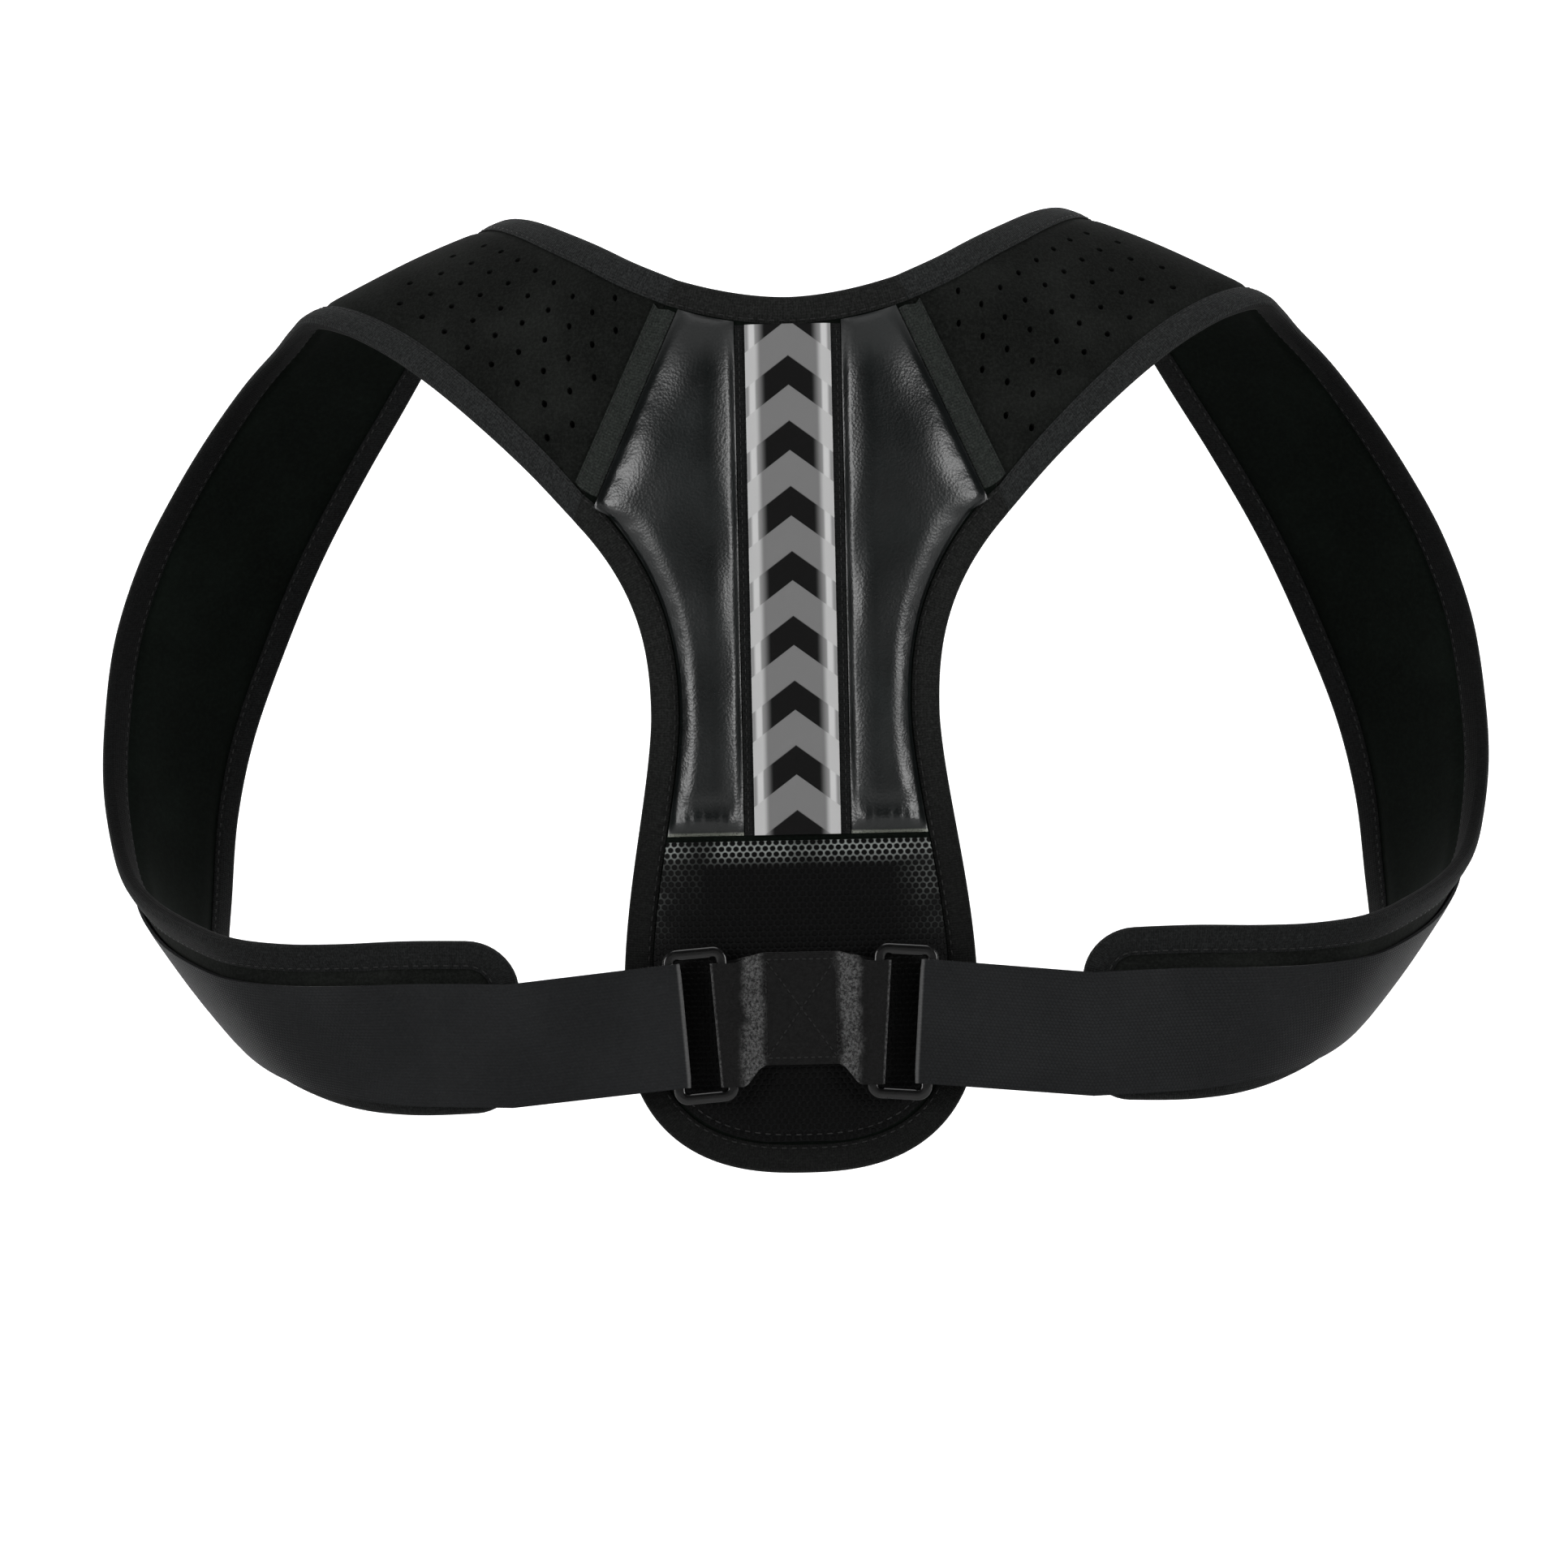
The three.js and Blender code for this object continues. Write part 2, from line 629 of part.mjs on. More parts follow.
// Binding out along the arm edge, round the padded end and back along the neck edge.
function strapBinding() {
  const section = (row, place) => bindingOutline.map(([u, n]) => strapPoint(row, place(u), n));
  const out = mainRows.map((row) => section(row, (u) => u));
  const back = mainRows.map((row) => section(row, (u) => widthAt(row) - u)).reverse();
  const corner = (angles, place) =>
    angles.map((angle) =>
      bindingOutline.map(([u, n]) => {
        const length = cornerStart + (endRadius - u) * Math.sin(angle);
        const row = rowAt(length);
        return strapPoint(row, place((endRadius - u) * Math.cos(angle), widthAt(row)), n);
      }),
    );
  const quarter = endShares.map(Math.asin);
  const first = corner(quarter, (reach) => endRadius - reach);
  const second = corner([...quarter].reverse(), (reach, width) => width - endRadius + reach);
  return sweptSolid([...out, ...first, ...second, ...back], bindingOutline);
}

// Ribbon over the seam between panel and wing.
function seamRibbon() {
  const half = ribbonWide / 2;
  const lift = halfEdge + gap;
  const wingWidth = widthAt(rowAt(half));
  const clear = (bindingWide + 3 * gap) / wingWidth;
  const shares = steps(clear, 1 - clear, 6);
  const face = (height) =>
    shares.map((share) => {
      const x = lerp(headOut, footOut, share);
      const up = lerp(headUp, footUp, share);
      const onPanel = panelPoint(x + half * seamDown[1], up - half * seamDown[0], panelMid + height);
      const fromArm = (1 - share) * wingWidth;
      return [onPanel, panelPoint(x, up, panelMid + height), strapPoint(rowAt(half), fromArm, height)];
    });
  return solidBetween(face(lift + ribbonWall), face(lift));
}

// Webbing, rings and tab

const ringBack = panelThick + coverWall + meshBulge + 2 * gap + barClear + webWall; // raised over the wearer's face
const ringMid = ringBack + ringThick / 2;
const leanAt = (up) => Math.tan(ringLean) * (up + ringDrop);

function ring() {
  const shape = new THREE.Shape();
  roundedOutline(shape, ringWide / 2, ringTall / 2, ringCorner);
  const hole = new THREE.Path();
  roundedOutline(hole, ringWide / 2 - ringBar, ringTall / 2 - ringBar, ringCorner / 4);
  shape.holes.push(hole);
  const geometry = new THREE.ExtrudeGeometry(shape, { depth: ringThick, bevelEnabled: false, curveSegments: 3 });
  geometry.translate(0, 0, -ringThick / 2).rotateX(Math.PI / 2).rotateY(ringLean);
  geometry.translate(ringOut, -ringMid, -ringDrop);
  return fromManifold(toManifold(geometry));
}

function roundedOutline(path, halfX, halfY, radius) {
  path.moveTo(halfX - radius, -halfY);
  path.absarc(halfX - radius, -halfY + radius, radius, -Math.PI / 2, 0, false);
  path.absarc(halfX - radius, halfY - radius, radius, 0, Math.PI / 2, false);
  path.absarc(-halfX + radius, halfY - radius, radius, Math.PI / 2, Math.PI, false);
  path.absarc(-halfX + radius, -halfY + radius, radius, Math.PI, 1.5 * Math.PI, false);
  path.closePath();
}

// Rounded fold round a bar, from the front to the back: [out, raised] about the bar's middle.
function foldAround(direction) {
  const reach = ringBar / 2 + barClear + webWall / 2;
  const rise = ringThick / 2 + barClear + webWall / 2;
  const corner = rise / 2;
  const place = (angle, side) => [
    direction * (reach - corner + corner * Math.cos(angle)),
    ringMid + side * (rise - corner) + corner * Math.sin(angle),
  ];
  const front = steps(Math.PI / 2, 0, 3).map((angle) => place(angle, 1));
  const back = steps(0, -Math.PI / 2, 3).map((angle) => place(angle, -1));
  return [...front, ...back];
}

// Adjusting webbing: from its tip on the chest, round under the arm, through the ring and back to the pad.
function webbing() {
  const over = bindingHalf + gap + webWall / 2;
  const doubled = webWall + gap;
  const tops = [0, 0.5, 1].map((share) => webFromArmEdge + share * webWide);
  const onStrap = (length, raised) => tops.map((w) => strapPoint(rowAt(length), w, raised));
  const sewnFrom = strapLength - webOverlap;
  const lift = (length) => over + doubled * smooth(length, sewnFrom - webRise, sewnFrom);
  const rows = [];
  for (const length of webbingLengths(sewnFrom)) rows.push(onStrap(length, lift(length)));
  const padRow = onStrap(strapLength - 2, lift(strapLength));
  const barOut = ringOut + ringWide / 2 - ringBar / 2;
  const fold = foldAround(-1).map(([out, raised]) => webbingRow(barOut + out, raised, 1));
  const front = fold[0];
  const behind = fold[fold.length - 1];
  const innerPad = onStrap(strapLength - 2, over);
  rows.push(padRow, ...between(padRow, front, [0.33, 0.66, 0.86]), ...fold);
  rows.push(...between(behind, innerPad, [0.1, 0.4, 0.7]), innerPad, onStrap(sewnFrom + webOverlap / 2, over));
  rows.push(onStrap(sewnFrom, over));
  return thickened(rows, webWall);
}

// Lengths along the strap where the outer layer of the webbing has a row, from its tip to the pad's end.
function webbingLengths(sewnFrom) {
  const rows = mainRows.filter((row) => row > webTipRow && lengthAt(row) < sewnFrom - webRise - 2);
  return [lengthAt(webTipRow), ...rows.map(lengthAt), ...steps(sewnFrom - webRise, sewnFrom, 2)];
}

// Three points of the webbing beside a ring, from its upper to its lower edge.
function webbingRow(out, raised, lean) {
  return [-0.5, 0, 0.5].map((share) => {
    const up = -ringDrop - share * webWide;
    return vec(out + lean * leanAt(up), -raised, up);
  });
}

function between(from, to, shares) {
  return shares.map((share) => from.map((point, j) => point.clone().lerp(to[j], share)));
}

// Solid of even thickness about a grid of points.
function thickened(rows, thickness) {
  const face = (side) =>
    rows.map((row, i) =>
      row.map((point, j) => {
        const along = rows[Math.min(i + 1, rows.length - 1)][j].clone().sub(rows[Math.max(i - 1, 0)][j]);
        const across = row[Math.min(j + 1, row.length - 1)].clone().sub(row[Math.max(j - 1, 0)]);
        const normal = vec(0, 0, 0).crossVectors(along, across).normalize();
        return point.clone().addScaledVector(normal, (side * thickness) / 2);
      }),
    );
  return solidBetween(face(1), face(-1));
}

// Tab: a sewn middle with a loop round the inner bar of each ring.
function centreTab() {
  const barOut = ringOut - ringWide / 2 + ringBar / 2;
  const outside = loopOutline(barOut, webWall + barClear, false);
  const eye = loopOutline(barOut, barClear, true);
  const flipped = (outline) => outline.map(([x, raised]) => [-x, raised]).reverse();
  const body = toManifold(tabPrism([...outside, ...flipped(outside)], 0.5));
  const eyes = [eye, flipped(eye)].map((outline) => toManifold(tabPrism(outline, 0.55)));
  return fromManifold(eyes.reduce((solid, cut) => solid.subtract(cut), body));
}

// Upright prism over an outline seen from above, from a share of the tab's height over its middle to
// the same share below. It leans with the rings at its ends, and its sewn middle rides up.
function tabPrism(outline, reach) {
  const sections = steps(reach, -reach, 2).map((share) =>
    outline.map(([x, raised]) => {
      const outwards = smooth(Math.abs(x), tabSewnHalf - 1, tabSewnHalf + tabSlope);
      const up = lerp(tabLift, 0, outwards) - ringDrop + share * tabTall * lerp(tabTaper, 1, outwards);
      return vec(x + Math.sign(x) * outwards * leanAt(up), -raised, up);
    }),
  );
  return sweptSolid(sections, outline);
}

// Half outline of the tab seen from above, out round the bar and back, spaced off the bar.
function loopOutline(barOut, spacing, isEye) {
  const rise = ringThick / 2 + spacing;
  const reach = ringBar / 2 + spacing;
  const corner = rise / 2;
  const front = ringMid + rise;
  const back = ringMid - rise;
  const sewnFront = ringMid - ringThick / 2 - barClear + webWall;
  const sewnBack = isEye ? sewnFront - webWall : back;
  const round = steps(Math.PI / 2, 0, 3).map((angle) => [
    barOut + reach - corner + corner * Math.cos(angle),
    front - corner + corner * Math.sin(angle),
  ]);
  const under = steps(0, -Math.PI / 2, 3).map((angle) => [
    barOut + reach - corner + corner * Math.cos(angle),
    back + corner + corner * Math.sin(angle),
  ]);
  if (isEye) return [[tabSewnHalf + 1, sewnBack], [barOut - reach, front], ...round, ...under];
  return [[tabSewnHalf - 1, sewnFront], [barOut - reach, front], ...round, ...under];
}

// The assembly

const finishes = {
  neoprene: { roughness: 0.95, metalness: 0 },
  lining: { roughness: 0.9, metalness: 0 },
  leather: { roughness: 0.4, metalness: 0 },
  mesh: { roughness: 0.8, metalness: 0 },
  binding: { roughness: 0.85, metalness: 0 },
  ribbon: { roughness: 0.8, metalness: 0 },
  webbing: { roughness: 0.85, metalness: 0 },
  ring: { roughness: 0.25, metalness: 0 },
  tape: { roughness: 0.35, metalness: 0.4 },
};

function piece(name, geometry, finish) {
  geometry.computeVertexNormals();
  const material = new THREE.MeshStandardMaterial({ color: colours[finish], ...finishes[finish] });
  material.name = finish;
  const mesh = new THREE.Mesh(geometry, material);
  mesh.name = name;
  return mesh;
}

// A piece on each side of the centre line.
function pair(name, geometry, finish) {
  return [piece(name + "_right", geometry, finish), piece(name + "_left", mirrored(geometry), finish)];
}

const corrector = new THREE.Group();
corrector.add(
  piece("back_panel", backPanel(), "lining"),
  piece("mesh_panel", meshPanel(), "mesh"),
  piece("tape_backing", tapeBacking(), "ribbon"),
  piece("reflective_tape", reflectiveTape(), "tape"),
  piece("neckline_binding", necklineBinding(), "binding"),
  piece("panel_binding", panelBinding(), "binding"),
  piece("centre_tab", centreTab(), "webbing"),
  ...pair("leather", leather(), "leather"),
  ...pair("seam_ribbon", seamRibbon(), "ribbon"),
  ...pair("shoulder_strap", strapBody(), "neoprene"),
  ...pair("strap_lining", strapLining(), "lining"),
  ...pair("strap_binding", strapBinding(), "binding"),
  ...pair("webbing", webbing(), "webbing"),
  ...pair("ring", ring(), "ring"),
);

export default corrector;
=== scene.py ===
"""Posture corrector: its cloth, leather, tape, webbing and rings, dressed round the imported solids."""

import logging
import math
from dataclasses import dataclass, field
from enum import Enum
from typing import Callable, Sequence

import bpy
import numpy as np
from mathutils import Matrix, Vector, geometry as flat_geometry


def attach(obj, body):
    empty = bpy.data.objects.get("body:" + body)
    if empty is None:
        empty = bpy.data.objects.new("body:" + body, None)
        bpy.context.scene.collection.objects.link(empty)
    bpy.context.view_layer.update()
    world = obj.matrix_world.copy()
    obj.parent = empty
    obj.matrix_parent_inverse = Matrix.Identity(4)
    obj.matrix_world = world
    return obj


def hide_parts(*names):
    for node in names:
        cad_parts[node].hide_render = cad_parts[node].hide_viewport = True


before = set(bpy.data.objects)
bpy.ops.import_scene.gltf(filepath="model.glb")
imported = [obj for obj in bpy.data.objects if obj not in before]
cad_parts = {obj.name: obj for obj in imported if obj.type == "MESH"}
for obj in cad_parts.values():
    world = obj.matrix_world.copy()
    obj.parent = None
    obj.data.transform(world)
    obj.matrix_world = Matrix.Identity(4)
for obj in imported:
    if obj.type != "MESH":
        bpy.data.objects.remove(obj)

LOG = logging.getLogger("posture_corrector")
MM = 0.001
TINY = 1e-9
WHITE = (1.0, 1.0, 1.0, 1.0)
Array = np.ndarray
FlatCut = tuple[Array, list[tuple[int, ...]], list[list[int]]]
Places = Sequence[tuple[float, float]]
Spread = Callable[[Array, Array], Array]
Colour = tuple[float, float, float]
Material = bpy.types.Material
Looks = dict[str, Material]


class Side(Enum):
    """Which side of the centre line a piece is on, as the sign of its X."""

    RIGHT = 1
    LEFT = -1

    @property
    def word(self) -> str:
        """Name of the side, as the nodes have it."""
        return self.name.lower()


class Face(Enum):
    """Outer face of the cloth, or the face towards the wearer, as the sign of its height."""

    OUTER = 1
    INNER = -1


def smooth(value: Array | float, low: float, high: float) -> Array:
    """Rises from 0 at low to 1 at high, level at both ends."""
    t = np.clip((np.asarray(value, float) - low) / (high - low), 0, 1)
    return t * t * (3 - 2 * t)


def lerp(a: Array | float, b: Array | float, t: Array | float) -> Array | float:
    """Value a share t of the way from a to b."""
    return a + (b - a) * t


def unit(v: Array) -> Array:
    """Vectors scaled to length 1."""
    return v / np.maximum(np.linalg.norm(v, axis=-1, keepdims=True), TINY)


def together(*parts: Array) -> Array:
    """Coordinates side by side, spread to one shape."""
    return np.stack(np.broadcast_arrays(*parts), -1)


def run_length(line: Array) -> Array:
    """Distance of each point of a line from its first, along the line."""
    step = np.linalg.norm(np.diff(line, axis=0), axis=-1)
    return np.concatenate([[0], np.cumsum(step)])


def bell(value: Array | float, middle: float, wide: float) -> Array:
    """Bump of height 1 about a middle."""
    return np.exp(-(((np.asarray(value, float) - middle) / wide) ** 2))


def ripple(a: Array, b: Array, seed: float) -> Array:
    """Slow uneven swell from -1 to 1 over two coordinates, in millimetres.

    Args:
        a: one coordinate.
        b: the other coordinate.
        seed: number that shifts the swell.

    Returns:
        Heights.
    """
    first = np.sin(a * 0.11 + seed) * np.cos(b * 0.083 + 2.1 * seed)
    second = np.sin(a * 0.047 - b * 0.13 + 3.7 * seed)
    return 0.5 * (first + second)


class EdgeCurve:
    """Centripetal Catmull-Rom curve through points, one unit of parameter from each to the next."""

    def __init__(self, points: Array) -> None:
        """Keeps the points, with one more beyond each end.

        Args:
            points: the points that the curve goes through.
        """
        self.count = len(points)
        before = 2 * points[0] - points[1]
        after = 2 * points[-1] - points[-2]
        self.points = np.vstack([before, points, after])

    def at(self, t: Array) -> Array:
        """Points of the curve.

        Args:
            t: parameters, from 0 to the number of points less 1.

        Returns:
            A point for each parameter.
        """
        t = np.asarray(t, float)
        i = np.clip(np.floor(t).astype(int), 0, self.count - 2)
        w = (t - i)[..., None]
        p0, p1, p2, p3 = (self.points[i + k] for k in range(4))
        d0, d1, d2 = (np.sqrt(np.linalg.norm(b - a, axis=-1, keepdims=True))
                      for a, b in ((p0, p1), (p1, p2), (p2, p3)))
        m1 = ((p1 - p0) / d0 - (p2 - p0) / (d0 + d1) + (p2 - p1) / d1) * d1
        m2 = ((p2 - p1) / d1 - (p3 - p1) / (d1 + d2) + (p3 - p2) / d2) * d1
        cubic = 2 * p1 - 2 * p2 + m1 + m2
        square = -3 * p1 + 3 * p2 - 2 * m1 - m2
        return p1 + m1 * w + square * w**2 + cubic * w**3


@dataclass(frozen=True)
class PanelSurface:
    """Curved sheet of the back panel. Heights are raised from the wearer's face outwards."""

    waist_half: float = 43
    foot_out: float = 66
    foot_up: float = 62
    head_out: float = 34
    head_up: float = 133.5
    neck_dip: float = 127.3
    tongue_half: float = 53
    tongue_widest: float = 90
    tongue_tip: float = 140
    thick: float = 4
    bow: float = 8
    neck_lean: float = 6
    lean_from: float = 60
    roundness: float = 0.8

    def half(self, up: Array) -> Array:
        """Half width of the panel at heights, out to the finished edge.

        Args:
            up: heights over the waist.

        Returns:
            Half widths.
        """
        up = np.asarray(up, float)
        seam = lerp(self.foot_out, self.head_out, (up - self.foot_up) / (self.head_up - self.foot_up))
        waist = self.waist_half + (self.foot_out - self.waist_half) * np.clip(up / self.foot_up, 0, 1) ** 2.5
        down = np.clip(-up / self.tongue_widest, 0, 1)
        swell = self.waist_half + (self.tongue_half - self.waist_half) * np.sin(down * math.pi / 2) ** 1.5
        past = np.clip((-up - self.tongue_widest) / (self.tongue_tip - self.tongue_widest), 0, 1)
        power = 2 / self.roundness
        tongue = self.tongue_half * (1 - past**power) ** (1 / power)
        below = np.where(up >= -self.tongue_widest, swell, tongue)
        return np.where(up >= self.foot_up, seam, np.where(up >= 0, waist, below))

    def half_inset(self, up: Array, inset: float) -> Array:
        """Half width drawn in by a distance that is measured square to the edge.

        Args:
            up: heights over the waist.
            inset: the distance.

        Returns:
            Half widths.
        """
        small = 0.5
        slope = (self.half(np.asarray(up) + small) - self.half(np.asarray(up) - small)) / (2 * small)
        return self.half(up) - inset * np.hypot(1, slope)

    def neckline(self, x: Array) -> Array:
        """Height of the neckline over a place across the panel."""
        share = np.minimum(np.abs(x) / self.head_out, 1.2)
        return self.neck_dip + (self.head_up - self.neck_dip) * share**1.8

    def normal(self, x: Array, up: Array) -> Array:
        """Outward directions of the sheet.

        Args:
            x: places across the panel.
            up: heights over the waist.

        Returns:
            Directions of length 1.
        """
        x, up = np.broadcast_arrays(np.asarray(x, float), np.asarray(up, float))
        span = self.head_up - self.lean_from
        lean = np.maximum(0, (up - self.lean_from) / span)
        slope_x = 2 * self.bow * x / self.foot_out**2
        slope_up = 2 * self.neck_lean * lean / span
        return unit(np.stack([slope_x, -np.ones_like(x), slope_up], -1))

    def point(self, x: Array, up: Array, raised: Array | float) -> Array:
        """Points on or above the sheet.

        Args:
            x: places across the panel.
            up: heights over the waist.
            raised: distances out from the wearer's face.

        Returns:
            Points in millimetres.
        """
        x, up, raised = np.broadcast_arrays(*(np.asarray(v, float) for v in (x, up, raised)))
        lean = np.maximum(0, (up - self.lean_from) / (self.head_up - self.lean_from))
        ahead = self.bow * (x / self.foot_out) ** 2 + self.neck_lean * lean**2
        return np.stack([x, ahead, up], -1) + self.normal(x, up) * raised[..., None]

    def side_line(self, count: int) -> Array:
        """Right-hand edge as (x, up) from the seam's foot down to the tongue's tip, evenly spaced.

        Args:
            count: number of points.

        Returns:
            The points.
        """
        turn = np.linspace(0, math.pi / 2, 60)
        past = np.sin(turn)
        ups = np.concatenate([np.linspace(self.foot_up, -self.tongue_widest, 160),
                              -self.tongue_widest - (self.tongue_tip - self.tongue_widest) * past[1:]])
        return resampled(np.stack([self.half(ups), ups], -1), count)

    @property
    def seam_down(self) -> Array:
        """Direction of the seam between panel and wing, downwards, as (x, up)."""
        return unit(np.array([self.foot_out - self.head_out, self.foot_up - self.head_up]))


def resampled(line: Array, count: int) -> Array:
    """A line of points, evenly spaced again.

    Args:
        line: the points.
        count: number of points wanted.

    Returns:
        The new points.
    """
    at = run_length(line)
    wanted = np.linspace(0, at[-1], count)
    return np.stack([np.interp(wanted, at, line[:, k]) for k in range(line.shape[1])], -1)


STRAP_COLUMNS = ("arm_out", "arm_ahead", "arm_up", "neck_out", "neck_ahead", "neck_up")
STRAP_ROWS = (
    (0.09, 0.072, 0.496, 0.071, 0.083, 0.896),
    (0.193, 0.122, 0.595, 0.126, 0.144, 0.932),
    (0.294, 0.201, 0.682, 0.182, 0.223, 0.965),
    (0.39, 0.288, 0.751, 0.227, 0.309, 0.99),
    (0.48, 0.374, 0.798, 0.262, 0.388, 1.002),
    (0.551, 0.468, 0.816, 0.292, 0.482, 1.001),
    (0.589, 0.561, 0.794, 0.322, 0.583, 0.974),
    (0.627, 0.633, 0.758, 0.359, 0.683, 0.917),
    (0.695, 0.698, 0.695, 0.412, 0.791, 0.809),
    (0.768, 0.741, 0.606, 0.483, 0.878, 0.672),
    (0.848, 0.77, 0.487, 0.558, 0.942, 0.53),
    (0.923, 0.777, 0.347, 0.639, 0.986, 0.359),
    (0.979, 0.763, 0.18, 0.708, 1, 0.177),
    (1, 0.727, 0.006, 0.77, 0.993, -0.025),
    (1, 0.683, -0.149, 0.8, 0.964, -0.236),
    (0.982, 0.619, -0.287, 0.81, 0.892, -0.446),
    (0.951, 0.518, -0.389, 0.811, 0.748, -0.644),
    (0.899, 0.396, -0.456, 0.775, 0.532, -0.784),
    (0.823, 0.259, -0.509, 0.709, 0.324, -0.879),
    (0.73, 0.137, -0.553, 0.631, 0.165, -0.944),
    (0.614, 0.058, -0.572, 0.556, 0.065, -0.982),
    (0.494, 0.014, -0.575, 0.495, 0.014, -0.996),
    (0.35, -0.007, -0.571, 0.435, -0.007, -1),
    (0.09, -0.014, -0.579, 0.247, -0.014, -0.991),
)


@dataclass(frozen=True)
class StrapSurface:
    """Middle sheet of a shoulder strap on the right: over the shoulder, down the chest, round under the arm.

    A row is a section of the strap table, 0 at the seam. A length is measured along the strap's middle.
    """

    panel: PanelSurface
    half_span: float = 220
    shoulder_rise: float = 156
    pad_drop: float = 120
    front_reach: float = 139
    crown: float = 1.5
    end_radius: float = 14
    strap_end: float = 7.5
    curves: dict[str, EdgeCurve] = field(default_factory=dict)
    tables: dict[str, Array] = field(default_factory=dict)

    def __post_init__(self) -> None:
        """Works out the two edge curves and the table of lengths."""
        table = dict(zip(STRAP_COLUMNS, np.array(STRAP_ROWS).T))
        panel = self.panel
        for edge, x, up in (("arm", panel.foot_out, panel.foot_up), ("neck", panel.head_out, panel.head_up)):
            seam = panel.point(x, up, panel.thick / 2)
            rise = table[edge + "_up"]
            height = np.where(rise > 0, rise * self.shoulder_rise, rise * self.pad_drop)
            out = lerp(seam[0], self.half_span, table[edge + "_out"])
            points = np.stack([out, table[edge + "_ahead"] * self.front_reach, height], -1)
            self.curves[edge] = EdgeCurve(np.vstack([seam, points]))
        rows = np.linspace(0, self.last, self.last * 8 + 1)
        middle = (self.curves["arm"].at(rows) + self.curves["neck"].at(rows)) / 2
        self.tables["rows"] = rows
        self.tables["lengths"] = run_length(middle)

    @property
    def last(self) -> int:
        """Number of the table's last row."""
        return len(STRAP_ROWS)

    @property
    def length(self) -> float:
        """Length from the seam to the padded end."""
        return float(self.tables["lengths"][-1]) - self.strap_end

    @property
    def corner(self) -> float:
        """Length at which the end starts to round."""
        return self.length - self.end_radius

    def row_at(self, length: Array) -> Array:
        """Rows at lengths along the strap."""
        return np.interp(length, self.tables["lengths"], self.tables["rows"])

    def length_at(self, row: Array) -> Array:
        """Lengths at rows of the table."""
        return np.interp(row, self.tables["rows"], self.tables["lengths"])

    def width_at(self, length: Array) -> Array:
        """Width of the strap at lengths."""
        row = self.row_at(length)
        return np.linalg.norm(self.curves["neck"].at(row) - self.curves["arm"].at(row), axis=-1)

    def point(self, length: Array, from_arm: Array, raised: Array | float) -> Array:
        """Points on or beside the sheet.

        Args:
            length: lengths along the strap.
            from_arm: distances in from the arm edge.
            raised: heights over the middle sheet, outwards.

        Returns:
            Points in millimetres.
        """
        given = (np.asarray(v, float) for v in (length, from_arm, raised))
        length, from_arm, raised = np.broadcast_arrays(*given)
        row = self.row_at(length)
        small = 0.02
        arm, neck = self.curves["arm"], self.curves["neck"]
        low, high = np.maximum(row - small, 0), np.minimum(row + small, self.last)
        across = neck.at(row) - arm.at(row)
        width = np.linalg.norm(across, axis=-1)
        share = (from_arm / width)[..., None]
        along = lerp(arm.at(high), neck.at(high), share) - lerp(arm.at(low), neck.at(low), share)
        own = unit(np.cross(along, across))
        panel = self.panel
        seam = panel.normal(lerp(panel.foot_out, panel.head_out, share[..., 0]),
                            lerp(panel.foot_up, panel.head_up, share[..., 0]))
        normal = unit(lerp(seam, own, smooth(row, 0, 0.8)[..., None]))
        hump = self.crown * np.maximum(0, 1 - (2 * share[..., 0] - 1) ** 2) * smooth(row, 0.3, 1.5)
        return arm.at(row) + across * share + normal * (raised + hump)[..., None]

    def edge_distance(self, length: Array, from_arm: Array) -> Array:
        """Distance from places on the strap to its edge, the rounded end included.

        Args:
            length: lengths along the strap.
            from_arm: distances in from the arm edge.

        Returns:
            Distances.
        """
        width = self.width_at(length)
        edge = np.minimum(from_arm, width - from_arm)
        past = length - self.corner
        rounded = self.end_radius - np.hypot(self.end_radius - edge, past)
        in_corner = (past > 0) & (edge < self.end_radius)
        straight = np.minimum(edge, self.length - length)
        return np.where(in_corner, np.minimum(straight, rounded), straight)

    def edge_line(self, start: float, spacing: float) -> Array:
        """Outline of the strap, out along the arm edge and back along the neck edge.

        Args:
            start: length at which it starts and ends.
            spacing: distance between points.

        Returns:
            Points as (length, from the arm edge).
        """
        out = np.linspace(start, self.corner, int((self.corner - start) / spacing) + 1)
        turn = np.linspace(0, math.pi / 2, 12)
        r = self.end_radius
        arm_arc = np.stack([self.corner + r * np.sin(turn), r - r * np.cos(turn)], -1)
        neck_lengths = self.corner + r * np.sin(turn[::-1])
        neck_arc = np.stack([neck_lengths, self.width_at(neck_lengths) - r + r * np.cos(turn[::-1])], -1)
        arm = np.stack([out, np.zeros_like(out)], -1)
        neck = np.stack([out[::-1], self.width_at(out[::-1])], -1)
        end_width = float(self.width_at(self.length))
        flat = np.stack([np.full(8, self.length), np.linspace(r, end_width - r, 8)], -1)
        return np.vstack([arm[:-1], arm_arc, flat[1:-1], neck_arc, neck[1:]])


def encloses(loop: Array, places: Array) -> Array:
    """Whether each flat place lies inside a closed loop.

    Args:
        loop: corners of the loop.
        places: the flat places.

    Returns:
        One truth value for each place.
    """
    x, y = places[:, :1], places[:, 1:]
    x0, y0 = loop[None, :, 0], loop[None, :, 1]
    x1, y1 = np.roll(x0, -1, 1), np.roll(y0, -1, 1)
    rise = np.where(y1 == y0, TINY, y1 - y0)
    crossed = ((y0 > y) != (y1 > y)) & (x < x0 + (y - y0) * (x1 - x0) / rise)
    return crossed.sum(1) % 2 == 1


